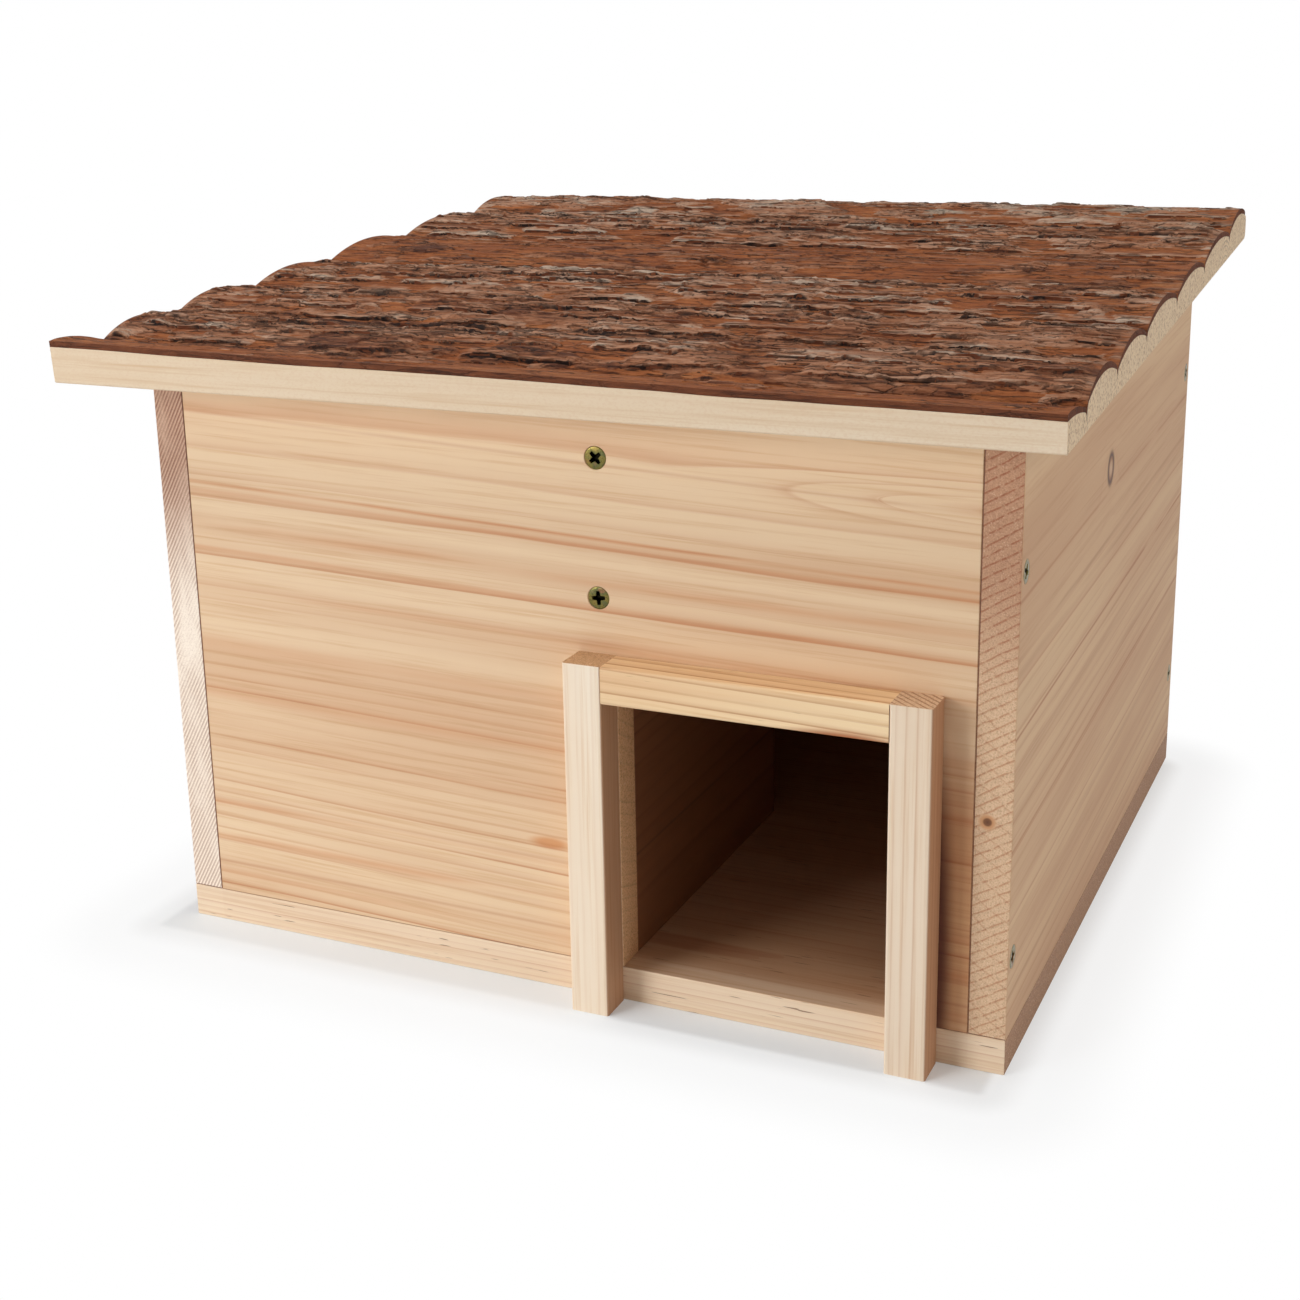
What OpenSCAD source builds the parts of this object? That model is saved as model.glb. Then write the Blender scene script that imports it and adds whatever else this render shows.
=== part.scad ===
// Hedgehog house: a box of softwood boards under a roof of split bark slabs.
// The roof is hinged at the back, so that the house can be cleaned out.
// X runs along the front, Y from front to back and Z up, in millimetres.
// The origin is on the ground, at the middle of the outline seen from above.

/* [Box] */
// Width over the outer faces of the side walls
body_w = 330; // [300:5:420]
// Depth from the face of the front wall to the face of the back wall
body_d = 315; // [290:5:400]
// Thickness of the floor board and of every wall
board_t = 13; // [11:0.5:16]
// Height of the roof's underside above the ground, at the face of the front wall
front_h = 223; // [205:1:280]

/* [Entrance] */
// Left edge of the doorway, to the right of the middle of the box
door_x = 24.5; // [5:0.5:40]
// Width of the doorway between its two posts
door_w = 102.5; // [90:0.5:106]
// Height of the doorway above the floor board
door_h = 105.5; // [90:0.5:120]
// Width of each doorway post
post_w = 14.5; // [10:0.5:20]
// How far the posts and the lintel stand out from the front wall
post_d = 14; // [10:0.5:20]
// Height of the lintel between the posts
lintel_h = 13.5; // [10:0.5:20]
// Radius of the eased edges of the posts and the lintel
post_ease = 0.9; // [0.3:0.1:2]

/* [Inner wall] */
// Length of the wall that turns the way in towards the back of the house
divider_l = 143; // [110:1:180]
// Room between the top of this wall and the roof
divider_gap = 1; // [0.5:0.5:4]

/* [Roof] */
// Slope of the roof, which rises to the back
slope = 4; // [2:0.5:7]
// Overhang past each side wall
side_eave = 19; // [10:1:30]
// Overhang past the front wall
front_eave = 31; // [24:1:40]
// Overhang past the back wall, which covers the hinges
back_eave = 16; // [16:1:30]
// Height of a slab's wood along the middle
slab_h = 12.4; // [11:0.2:16]
// Height of a slab's wood along its edges
slab_edge_h = 5.2; // [3:0.2:6]
// Radius of a slab's shoulders, between the edges and the top
slab_shoulder = 4.5; // [3:0.1:5]
// Play between the top of the walls and the closed roof
roof_play = 0.05; // [0.02:0.01:0.2]
// Thickness of the bark along the middle of a slab
bark_t = 2.2; // [1:0.1:4]
// Thickness of the bark down in the joints between the slabs
bark_edge_t = 1.4; // [0.6:0.1:2]
// How far above the sawn edge of a slab its bark begins
bark_lip = 1.8; // [1.2:0.1:2.5]
// Joint between one slab and the next
slab_joint = 0.2; // [0.1:0.1:0.6]
// Radius of the lower back edge of the last slab
tail_r = 3; // [1:0.5:4]
// Bare wood along the back of the last slab, past the bark
tail_bare = 4; // [2:0.5:6]

/* [Bark plates] */
// Width of the plates of bark, which lie in rows like shingles with their edges to the front
plate_w = 8; // [6:0.5:12]
// Distance from one plate to the next along a row
plate_l = 62; // [40:1:90]
// How far the front edge of a plate stands up from the bark
plate_h = 1.4; // [0.6:0.1:1.6]
// How deep the plates are rooted in the bark
plate_root = 0.5; // [0.3:0.1:0.8]

/* [Roof battens] */
// Width of the two battens that carry the slabs
batten_w = 20; // [15:1:30]
// Height of the battens
batten_h = 12; // [8:0.5:16]
// Play between a batten and the side wall
batten_side_gap = 2; // [1:0.5:5]
// Play between a batten's front end and the front wall
batten_front_gap = 5; // [4:0.5:10]
// Play between a batten's back end and the back wall
batten_back_gap = 4; // [3:0.5:10]

/* [Screws] */
// Diameter of the screws that hold the box together
screw_d = 4; // [3:0.5:5]
// Diameter of their countersunk heads
screw_head_d = 8.4; // [7:0.2:10]
// Length of these screws
screw_l = 35; // [28:1:40]
// Diameter of the small screws in the doorway frame and in the battens
small_screw_d = 3; // [2.5:0.1:3.5]
// Diameter of the heads of the small screws
small_head_d = 6; // [5:0.2:7]
// How deep a small screw goes into the piece that it holds
small_screw_bite = 8; // [6:0.5:9]
// Play of a screw in its hole
screw_play = 0.1; // [0.05:0.05:0.2]
// Lower screws in the front edges of the side walls, above the floor board
front_screw_up = 28; // [24:1:45]
// Upper screws in the front edges of the side walls, below the roof
front_screw_down = 49; // [20:1:80]
// Lower screws in the back edges of the side walls, above the floor board
back_screw_up = 32; // [24:1:45]
// Upper screws in the back edges of the side walls, below the roof
back_screw_down = 57; // [20:1:80]
// Upper screw into the inner wall, below the roof
divider_screw_down = 21.5; // [15:0.5:35]
// Distance between the two screws into the inner wall
divider_screw_pitch = 49.5; // [30:0.5:60]
// Distance of the screws under the side walls from the front and from the back
floor_screw_inset = 45; // [30:1:80]
// Height of the lower screws in the doorway posts, above the ground
post_screw_low = 26; // [22:1:30]
// Distance of the upper screws from the top of the doorway posts
post_screw_top = 27; // [20:1:40]

/* [Hinges] */
// Distance between the middles of the two hinges
hinge_spread = 190; // [120:5:220]
// Length of each hinge along its pin
hinge_l = 30; // [24:1:40]
// Width of a leaf, from the middle of the pin
hinge_leaf_w = 9.5; // [9:0.1:10]
// Thickness of a leaf
hinge_leaf_t = 1; // [0.8:0.1:1.2]
// Outer diameter of the knuckles
knuckle_d = 4.4; // [4:0.1:4.8]
// Diameter of the pin
pin_d = 2.2; // [1.8:0.1:2.4]
// Play of the pin in the knuckles, on the radius
pin_play = 0.05; // [0.02:0.01:0.08]
// Gap between neighbouring knuckles
knuckle_gap = 0.2; // [0.1:0.05:0.3]
// Gap that keeps the knuckles off the wall and the roof
hinge_gap = 0.3; // [0.2:0.05:0.5]
// Diameter of the hinge screws
hinge_screw_d = 2.2; // [1.8:0.1:2.4]
// Diameter of the heads of the hinge screws
hinge_head_d = 4; // [3.6:0.1:4.4]
// Length of the hinge screws
hinge_screw_l = 8; // [6:0.5:9]

/* [Hidden] */
$fn = 72;
// Widths of the slabs from front to back, as parts of the whole roof
slab_parts = [27, 46, 51, 60, 64, 67, 50];
// How much higher or lower each slab is than slab_h, at its left and right end
slab_rise = [[0.9, -2.2], [-0.5, 0.2], [0.3, -0.3], [-0.4, 0.4], [0.3, -0.2], [-0.3, 0.4], [-0.2, 1.4]];
// How far the plates of each slab stand up, as a part of plate_h. The front slab has smooth bark.
plate_parts = [0, 1, 1, 1, 0.5, 1, 0.7];
slabs = len(slab_parts);
front_slab = 0;
last_slab = slabs - 1;

// How far the arch of a slab cuts into its shoulders
crown_lap = 0.2;
// How far the front of a plate leans out over the plate before it
plate_lean = 0.3;
// Plates that would be shorter than this at a slab's sawn end are left out
plate_least = 6;

// The roof sticks out by nose at its upper front edge and ends short by tail at the back
nose = (slab_h + bark_t) * sin(slope);
tail = tail_r * sin(slope);
front_y = (front_eave + nose - body_d - back_eave + tail) / 2;
back_y = front_y + body_d;
inner_front_y = front_y + board_t;
inner_back_y = back_y - board_t;
inner_w = body_w - 2 * board_t;
eave_y = front_y - front_eave;
eave_z = under_z(eave_y);
roof_w = body_w + 2 * side_eave;
roof_l = (front_eave + body_d + back_eave) / cos(slope);

door_right = door_x + door_w;
lintel_z = board_t + door_h;
post_h = lintel_z + lintel_h;
divider_x = door_x - board_t / 2;

batten_x = inner_w / 2 - batten_side_gap - batten_w / 2;
batten_u = roof_u(inner_front_y + batten_front_gap);
batten_end_u = roof_u(inner_back_y - batten_back_gap);
batten_screw_l = batten_h + small_screw_bite;
batten_end_room = 10;
frame_screw_l = board_t + small_screw_bite;
floor_screw_recess = 0.3;
screw_tip_d = 0.5;

knuckle_r = knuckle_d / 2;
hinge_off = knuckle_r + hinge_gap;
hinge_y = back_y + hinge_off;
hinge_z = under_z(hinge_y) - hinge_off / cos(slope);
hinge_u = (hinge_y - eave_y) * cos(slope) + (hinge_z - eave_z) * sin(slope);
hinge_clear = hinge_off + 0.1;
knuckle_l = (hinge_l - 2 * knuckle_gap) / 3;
hinge_screw_x = hinge_l / 3;
hinge_screw_off = (hinge_clear + hinge_leaf_w) / 2;

wood = "#e2bd90";
end_wood = "#cfa274";
post_wood = "#ecd2a8";
slab_wood = "#ead2ab";
bark_brown = "#6f4530";
zinc = "#a99a5c";
steel = "#b9bcc0";
more = 1;

// Height of the roof's underside above the ground, at a place from front to back
function under_z(y) = front_h + (y - front_y) * tan(slope);

// Distance along the roof's underside from its front edge to a place from front to back
function roof_u(y) = (y - eave_y) / cos(slope);

// Sum of the first n parts of a list
function sum_of(list, n) = n == 0 ? 0 : list[n - 1] + sum_of(list, n - 1);

// Front and back edge of slab i along the roof, with half a joint left free at each
function slab_start(i) =
    roof_l * sum_of(slab_parts, i) / sum_of(slab_parts, slabs) + (i == front_slab ? 0 : slab_joint / 2);
function slab_end(i) =
    roof_l * sum_of(slab_parts, i + 1) / sum_of(slab_parts, slabs) - (i == last_slab ? 0 : slab_joint / 2);
function slab_w(i) = slab_end(i) - slab_start(i);

// Radius of the arc that joins two shoulders half a width apart and rises to height h
function crown_r(half, rise) = (half * half + rise * rise) / (2 * rise);

// Draws a profile of Y and Z and gives it a length along X, from x
module along_x(x, length) {
    translate([x, 0, 0])
        rotate([90, 0, 90])
            linear_extrude(length)
                children();
}

// Puts children on the roof's underside: X across, Y up the slope, Z square to it
module on_roof() {
    translate([0, eave_y, eave_z])
        rotate([slope, 0, 0])
            children();
}

// Board that runs from y_low to y_high, with its top cut to the slope of the roof, drop below it
module sloped_board(y_low, y_high, x, length, drop = roof_play) {
    along_x(x, length)
        polygon([
            [y_low, board_t],
            [y_high, board_t],
            [y_high, under_z(y_high) - drop],
            [y_low, under_z(y_low) - drop]
        ]);
}

// Rectangle with eased corners, from the origin
module eased(w, d, r) {
    translate([r, 0])
        square([w - 2 * r, d]);
    translate([0, r])
        square([w, d - 2 * r]);
    for (x = [r, w - r], y = [r, d - r])
        translate([x, y])
            circle(r);
}

// Countersunk cross-recess screw. Its head is at Z = 0 and it points down.
module screw(l, d, head_d) {
    head_h = (head_d - d) / 2;
    recess_w = 0.24 * d;
    recess_l = 0.55 * head_d;
    recess_h = 0.75 * head_h;
    difference() {
        union() {
            translate([0, 0, -head_h])
                cylinder(h = head_h, d1 = d, d2 = head_d);
            translate([0, 0, d - l])
                cylinder(h = l - d - head_h, d = d);
            translate([0, 0, -l])
                cylinder(h = d, d1 = screw_tip_d, d2 = d);
        }
        for (turn = [0, 90])
            rotate(turn)
                translate([-recess_l / 2, -recess_w / 2, -recess_h])
                    cube([recess_l, recess_w, recess_h + more]);
    }
}

// Hole for the same screw, countersunk and open above Z = 0
module screw_hole(l, d, head_d) {
    head_h = (head_d - d) / 2;
    play = 2 * screw_play;
    translate([0, 0, -head_h])
        cylinder(h = head_h, d1 = d + play, d2 = head_d + play);
    cylinder(h = more, d = head_d + play);
    translate([0, 0, -l - screw_play])
        cylinder(h = l + screw_play - head_h / 2, d = d + play);
}

// Places of the screws through the right wall. The left wall mirrors them.
module at_side_screws() {
    wall_mid = board_t / 2;
    low_z = [board_t + front_screw_up, board_t + back_screw_up];
    y = [front_y + wall_mid, back_y - wall_mid];
    high_z = [under_z(y[0]) - front_screw_down, under_z(y[1]) - back_screw_down];
    for (i = [0, 1], z = [low_z[i], high_z[i]])
        translate([body_w / 2, y[i], z])
            rotate([0, 90, 0])
                children();
}

// Places of the screws through the front wall into the inner wall
module at_divider_screws() {
    for (i = [0, 1])
        translate([divider_x, front_y, under_z(front_y) - divider_screw_down - i * divider_screw_pitch])
            rotate([90, 0, 0])
                children();
}

// Places of the screws up through the floor board into all the walls
module at_floor_screws() {
    wall_x = (body_w - board_t) / 2;
    front_x = [-inner_w / 2 + floor_screw_inset, door_x - post_w - floor_screw_inset];
    sides = [
        for (x = [-wall_x, wall_x],
             y = [front_y + floor_screw_inset, front_y + body_d / 2, back_y - floor_screw_inset])
            [x, y]
    ];
    fronts = [for (x = front_x) [x, front_y + board_t / 2]];
    backs = [for (x = [-inner_w / 4, inner_w / 4]) [x, back_y - board_t / 2]];
    inner = [[divider_x, inner_front_y + divider_l / 2]];
    for (place = concat(sides, fronts, backs, inner))
        translate([place[0], place[1], floor_screw_recess])
            rotate([180, 0, 0])
                children();
}

// Places of the screws from inside the front wall into the doorway frame
module at_entrance_screws() {
    left = door_x - post_w / 2;
    right = door_right + post_w / 2;
    posts = [for (x = [left, right], z = [post_screw_low, post_h - post_screw_top]) [x, z]];
    lintel = [for (part = [0.25, 0.75]) [door_x + part * door_w, lintel_z + lintel_h / 2]];
    for (place = concat(posts, lintel))
        translate([place[0], inner_front_y, place[1]])
            rotate([-90, 0, 0])
                children();
}

// Places, on the roof, of the screws up through the battens into slabs 2 to 7
module at_batten_screws() {
    for (side = [-1, 1], i = [1:last_slab])
        translate([
            side * batten_x,
            min(
                max((slab_start(i) + slab_end(i)) / 2, batten_u + batten_end_room),
                batten_end_u - batten_end_room
            ),
            -batten_h
        ])
            rotate([180, 0, 0])
                children();
}

// Both sides of the house, where a hinge has its middle
module at_hinges() {
    for (side = [-1, 1])
        translate([side * hinge_spread / 2, 0, 0])
            children();
}

module at_hinge_wall_screws() {
    at_hinges()
        for (x = [-hinge_screw_x, hinge_screw_x])
            translate([x, back_y + hinge_leaf_t, hinge_z - hinge_screw_off])
                rotate([-90, 0, 0])
                    children();
}

// The same on the roof's underside
module at_hinge_roof_screws() {
    at_hinges()
        for (x = [-hinge_screw_x, hinge_screw_x])
            translate([x, hinge_u + hinge_screw_off, -hinge_leaf_t])
                rotate([180, 0, 0])
                    children();
}

module side_screw() { screw(screw_l, screw_d, screw_head_d); }
module side_screw_hole() { screw_hole(screw_l, screw_d, screw_head_d); }
module hinge_screw() { screw(hinge_screw_l, hinge_screw_d, hinge_head_d); }
module hinge_screw_hole() { screw_hole(hinge_screw_l, hinge_screw_d, hinge_head_d); }

module floor_board() {
    color(wood)
        difference() {
            translate([-body_w / 2, front_y, 0])
                cube([body_w, body_d, board_t]);
            at_floor_screws()
                side_screw_hole();
        }
}

module right_wall() {
    color(wood)
        difference() {
            sloped_board(front_y, back_y, inner_w / 2, board_t);
            at_side_screws()
                side_screw_hole();
            at_floor_screws()
                side_screw_hole();
        }
}

module left_wall() {
    mirror([1, 0, 0])
        right_wall();
}

module front_wall() {
    color(wood)
        difference() {
            sloped_board(front_y, inner_front_y, -inner_w / 2, inner_w);
            translate([door_x, front_y - more, board_t - more])
                cube([door_w, board_t + 2 * more, door_h + more]);
            for (side = [0, 1])
                mirror([side, 0, 0])
                    at_side_screws()
                        side_screw_hole();
            at_divider_screws()
                side_screw_hole();
            at_floor_screws()
                side_screw_hole();
            at_entrance_screws()
                screw_hole(frame_screw_l, small_screw_d, small_head_d);
        }
}

module back_wall() {
    color(wood)
        difference() {
            sloped_board(inner_back_y, back_y, -inner_w / 2, inner_w);
            for (side = [0, 1])
                mirror([side, 0, 0])
                    at_side_screws()
                        side_screw_hole();
            at_floor_screws()
                side_screw_hole();
            at_hinge_wall_screws()
                hinge_screw_hole();
        }
}

module divider() {
    color(wood)
        difference() {
            sloped_board(inner_front_y, inner_front_y + divider_l, door_x - board_t, board_t, divider_gap);
            at_divider_screws()
                side_screw_hole();
            at_floor_screws()
                side_screw_hole();
        }
}

// Doorway post with its left side at x, standing on the ground
module entrance_post(x) {
    color(post_wood)
        difference() {
            translate([x, front_y - post_d, 0])
                linear_extrude(post_h)
                    eased(post_w, post_d, post_ease);
            at_entrance_screws()
                screw_hole(frame_screw_l, small_screw_d, small_head_d);
        }
}

module entrance_lintel() {
    color(post_wood)
        difference() {
            translate([0, front_y - post_d, lintel_z])
                along_x(door_x, door_w)
                    eased(post_d, lintel_h, post_ease);
            at_entrance_screws()
                screw_hole(frame_screw_l, small_screw_d, small_head_d);
        }
}

module divider_screws() {
    color(zinc)
        at_divider_screws()
            side_screw();
}

module right_wall_screws() {
    color(zinc)
        at_side_screws()
            side_screw();
}

module left_wall_screws() {
    mirror([1, 0, 0])
        right_wall_screws();
}

module floor_screws() {
    color(zinc)
        at_floor_screws()
            side_screw();
}

module entrance_screws() {
    color(zinc)
        at_entrance_screws()
            screw(frame_screw_l, small_screw_d, small_head_d);
}

// Outline of a split slab, w wide: upright edges, round shoulders and a flat arch between.
// The arch cuts the tops of the shoulders off by a little.
// The outline reaches below Z = 0, where the flat underside cuts it.
module slab_outline(w, h, edge_h, shoulder) {
    r = crown_r(w / 2 - shoulder, h - edge_h - shoulder + crown_lap);
    depth = 2 * slab_h;
    intersection() {
        translate([w / 2, h - r])
            circle(r, $fn = 180);
        union() {
            translate([0, -depth])
                square([w, depth + edge_h]);
            translate([shoulder, -depth])
                square([w - 2 * shoulder, depth + 2 * h]);
            for (u = [shoulder, w - shoulder])
                translate([u, edge_h])
                    circle(shoulder);
        }
    }
}

// Wood of a slab, w wide
module wood_outline(w) {
    slab_outline(w, slab_h, slab_edge_h, slab_shoulder);
}

// Bark on the same slab, which stops at a lip above the joint
module bark_outline(w) {
    below = 2 * slab_h;
    difference() {
        slab_outline(w, slab_h + bark_t, slab_edge_h + bark_edge_t, slab_shoulder);
        wood_outline(w);
        translate([-more, -below])
            square([w + 2 * more, below + slab_edge_h + bark_lip]);
    }
}

// Width of the outline of slab i. The front slab is the back half of its outline.
function outline_w(i) = i == front_slab ? 2 * slab_w(i) : slab_w(i);

// Puts children at the front edge of the outline of slab i, as high as its rise says at each end
module on_slab(i) {
    rise = slab_rise[i];
    tilt = atan((rise[0] - rise[1]) / roof_w);
    translate([0, slab_end(i) - outline_w(i), (rise[0] + rise[1]) / 2])
        rotate([0, tilt, 0])
            children();
}

// Runs an outline along slab i
module slab_body(i) {
    on_slab(i)
        along_x(-roof_w, 2 * roof_w)
            children();
}

// Height of the bark's arch on an outline w wide, at u behind its front edge
function arch_h(w, u) =
    let (top = slab_h + bark_t)
    let (r = crown_r(w / 2 - slab_shoulder, top - slab_edge_h - bark_edge_t - slab_shoulder + crown_lap))
    top - r + sqrt(r * r - (u - w / 2) * (u - w / 2));

// Rows of plates on slab i and their distance from each other
function plate_rows(i) = max(1, floor((slab_w(i) - 2 * slab_shoulder) / plate_w));
function plate_pitch(i) = (slab_w(i) - 2 * slab_shoulder) / plate_rows(i);

// Where plate k of row j on slab i starts, how long it is and how far it stands up.
// The remainders stagger the rows and vary the plates.
function plate_x(i, j, k) = -roof_w / 2 + (k + (3 * i + 5 * j) % 7 / 7 - 1) * plate_l;
function plate_run(i, j, k) = plate_l * (0.66 + 0.14 * ((i + 3 * j + 2 * k) % 3));
function plate_rise(i, j, k) = plate_h * plate_parts[i] * (0.7 + 0.1 * ((2 * i + j + 3 * k) % 4));

// Plates on slab i: wedges that are rooted in the arch and sink into it towards the back
module bark_plates(i) {
    w = slab_w(i);
    pitch = plate_pitch(i);
    for (j = [0:plate_rows(i) - 1], k = [0:ceil(roof_w / plate_l) + 1]) {
        x = plate_x(i, j, k);
        run = plate_run(i, j, k);
        rise = plate_rise(i, j, k);
        front = slab_shoulder + j * pitch;
        back = front + pitch - plate_lean;
        if (x + run > plate_least - roof_w / 2 && x < roof_w / 2 - plate_least)
            along_x(x, run)
                polygon([
                    [front, arch_h(w, front) - plate_root],
                    [back, arch_h(w, back) - plate_root],
                    [back, arch_h(w, back) - plate_root / 2],
                    [front - plate_lean, arch_h(w, front) + rise]
                ]);
    }
}

// Sawn length, width and flat underside of slab i, with the rounded tail on the last one
module slab_cut(i, bare = 0) {
    top = 2 * slab_h;
    end = slab_end(i) - bare;
    difference() {
        translate([-roof_w / 2, slab_start(i), 0])
            cube([roof_w, end - slab_start(i), top]);
        if (i == last_slab)
            translate([0, slab_end(i) - tail_r, 0])
                along_x(-roof_w / 2 - more, roof_w + 2 * more)
                    difference() {
                        translate([0, -more])
                            square([tail_r + more, tail_r + more]);
                        translate([0, tail_r])
                            circle(tail_r);
                    }
    }
}

module roof_slab(i) {
    color(slab_wood)
        on_roof()
            difference() {
                intersection() {
                    slab_body(i)
                        wood_outline(outline_w(i));
                    slab_cut(i);
                }
                at_batten_screws()
                    screw_hole(batten_screw_l, small_screw_d, small_head_d);
                if (i == last_slab)
                    at_hinge_roof_screws()
                        hinge_screw_hole();
            }
}

module roof_bark(i) {
    color(bark_brown)
        on_roof()
            intersection() {
                union() {
                    slab_body(i)
                        bark_outline(outline_w(i));
                    if (plate_parts[i] > 0)
                        on_slab(i)
                            bark_plates(i);
                }
                slab_cut(i, i == last_slab ? tail_bare : 0);
            }
}

module roof_batten(side) {
    color(end_wood)
        on_roof()
            difference() {
                translate([side * batten_x - batten_w / 2, batten_u, -batten_h])
                    cube([batten_w, batten_end_u - batten_u, batten_h]);
                at_batten_screws()
                    screw_hole(batten_screw_l, small_screw_d, small_head_d);
            }
}

module batten_screws() {
    color(zinc)
        on_roof()
            at_batten_screws()
                screw(batten_screw_l, small_screw_d, small_head_d);
}

// Leaf that lies flat on Z = 0 below it, with the pin's middle hinge_off below Z = 0.
// It holds the knuckles whose middles are at the places in ends.
module hinge_leaf(ends) {
    difference() {
        union() {
            translate([-hinge_l / 2, hinge_clear, -hinge_leaf_t])
                cube([hinge_l, hinge_leaf_w - hinge_clear, hinge_leaf_t]);
            for (x = ends) {
                translate([x - knuckle_l / 2, 0, -hinge_leaf_t])
                    cube([knuckle_l, hinge_clear + more, hinge_leaf_t]);
                translate([x - knuckle_l / 2, 0, -hinge_off])
                    rotate([0, 90, 0])
                        cylinder(h = knuckle_l, r = knuckle_r);
            }
        }
        translate([-hinge_l, 0, -hinge_off])
            rotate([0, 90, 0])
                cylinder(h = 2 * hinge_l, r = pin_d / 2 + pin_play);
        for (x = [-hinge_screw_x, hinge_screw_x])
            translate([x, hinge_screw_off, -hinge_leaf_t])
                rotate([180, 0, 0])
                    hinge_screw_hole();
    }
}

// Leaf on the back wall, which holds the two outer knuckles
module hinge_wall_leaf(side) {
    color(steel)
        translate([side * hinge_spread / 2, back_y, hinge_z])
            rotate([90, 180, 0])
                hinge_leaf([knuckle_l + knuckle_gap, -knuckle_l - knuckle_gap]);
}

// Leaf under the roof, which holds the middle knuckle
module hinge_roof_leaf(side) {
    color(steel)
        on_roof()
            translate([side * hinge_spread / 2, hinge_u, 0])
                hinge_leaf([0]);
}

// Hinge pin with a flat head at each end
module hinge_pin(side) {
    head_h = 0.6;
    head_d = (pin_d + knuckle_d) / 2;
    color(steel)
        translate([side * hinge_spread / 2 - hinge_l / 2, hinge_y, hinge_z])
            rotate([0, 90, 0]) {
                cylinder(h = hinge_l, d = pin_d);
                for (z = [-head_h, hinge_l])
                    translate([0, 0, z])
                        cylinder(h = head_h, d = head_d);
            }
}

module hinge_wall_screws() {
    color(zinc)
        at_hinge_wall_screws()
            hinge_screw();
}

module hinge_roof_screws() {
    color(zinc)
        on_roof()
            at_hinge_roof_screws()
                hinge_screw();
}

floor_board();
left_wall();
right_wall();
front_wall();
back_wall();
divider();
entrance_post(door_x - post_w);  // entrance_post_left
entrance_post(door_right);  // entrance_post_right
entrance_lintel();
divider_screws();
left_wall_screws();
right_wall_screws();
floor_screws();
entrance_screws();
hinge_wall_leaf(-1);  // hinge_wall_leaf_left
hinge_wall_leaf(1);  // hinge_wall_leaf_right
hinge_pin(-1);  // hinge_pin_left
hinge_pin(1);  // hinge_pin_right
hinge_wall_screws();
roof_batten(-1);  // roof_batten_left
roof_batten(1);  // roof_batten_right
batten_screws();
hinge_roof_leaf(-1);  // hinge_roof_leaf_left
hinge_roof_leaf(1);  // hinge_roof_leaf_right
hinge_roof_screws();
for (i = [0:last_slab]) {
    roof_slab(i);
    roof_bark(i);
}
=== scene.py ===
import math
import random

import bmesh
import bpy
from mathutils import Matrix, Vector
from mathutils.noise import noise


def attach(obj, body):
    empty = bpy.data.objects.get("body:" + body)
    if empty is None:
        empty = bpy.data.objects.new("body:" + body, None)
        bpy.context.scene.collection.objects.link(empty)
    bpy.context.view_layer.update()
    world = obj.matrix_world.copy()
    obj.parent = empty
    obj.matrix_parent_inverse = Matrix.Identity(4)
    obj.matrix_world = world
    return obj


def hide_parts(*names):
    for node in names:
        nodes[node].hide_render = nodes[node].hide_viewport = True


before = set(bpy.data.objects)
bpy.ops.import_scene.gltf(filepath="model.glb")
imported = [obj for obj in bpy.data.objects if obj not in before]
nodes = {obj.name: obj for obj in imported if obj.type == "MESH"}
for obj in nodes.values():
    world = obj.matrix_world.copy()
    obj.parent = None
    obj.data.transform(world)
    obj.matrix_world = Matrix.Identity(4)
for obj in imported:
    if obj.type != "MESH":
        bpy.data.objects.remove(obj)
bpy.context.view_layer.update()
print("frame loaded")

mm = 0.001
mergeDistance = 0.001 * mm

# Camera, found from the corners of the box and of the roof
camera = {
    "place": (0.2980, -0.7257, 0.3420),
    "yaw": math.radians(-24.30),
    "pitch": math.radians(-15.43),
    "roll": math.radians(-1.01),
    "lens": 53.56,
    "shiftY": -0.069,
}


def addCamera(look):
    forward = Vector((
        math.sin(look["yaw"]) * math.cos(look["pitch"]),
        math.cos(look["yaw"]) * math.cos(look["pitch"]),
        math.sin(look["pitch"]),
    ))
    level = Vector((math.cos(look["yaw"]), -math.sin(look["yaw"]), 0))
    upright = level.cross(forward)
    across = math.cos(look["roll"]) * level + math.sin(look["roll"]) * upright
    above = -math.sin(look["roll"]) * level + math.cos(look["roll"]) * upright
    turn = Matrix((across, above, -forward)).transposed().to_4x4()
    data = bpy.data.cameras.new("camera")
    data.lens = look["lens"]
    data.sensor_width = 36
    data.shift_y = look["shiftY"]
    viewer = bpy.data.objects.new("camera", data)
    viewer.matrix_world = Matrix.Translation(look["place"]) @ turn
    bpy.context.scene.collection.objects.link(viewer)
    bpy.context.scene.camera = viewer


addCamera(camera)
print("camera set")


# Material helpers
def tint(red, green, blue):  # a display colour, 0 to 255
    parts = [part / 255 for part in (red, green, blue)]
    return tuple(p / 12.92 if p < 0.04045 else ((p + 0.055) / 1.055) ** 2.4 for p in parts) + (1,)


def grey(value):
    return (value, value, value, 1)


def fill(tree, target, inputs):  # links sockets and sets values
    for key, value in inputs.items():
        if isinstance(value, bpy.types.NodeSocket):
            tree.links.new(value, target.inputs[key])
        else:
            target.inputs[key].default_value = value


def make(tree, kind, inputs=None, **settings):
    made = tree.nodes.new("ShaderNode" + kind)
    for key, value in settings.items():
        setattr(made, key, value)
    fill(tree, made, inputs or {})
    return made


def calc(tree, operation, *values, clamp=False):
    return make(tree, "Math", dict(enumerate(values)), operation=operation, use_clamp=clamp).outputs[0]


def times(tree, first, second):
    return calc(tree, "MULTIPLY", first, second)


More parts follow.
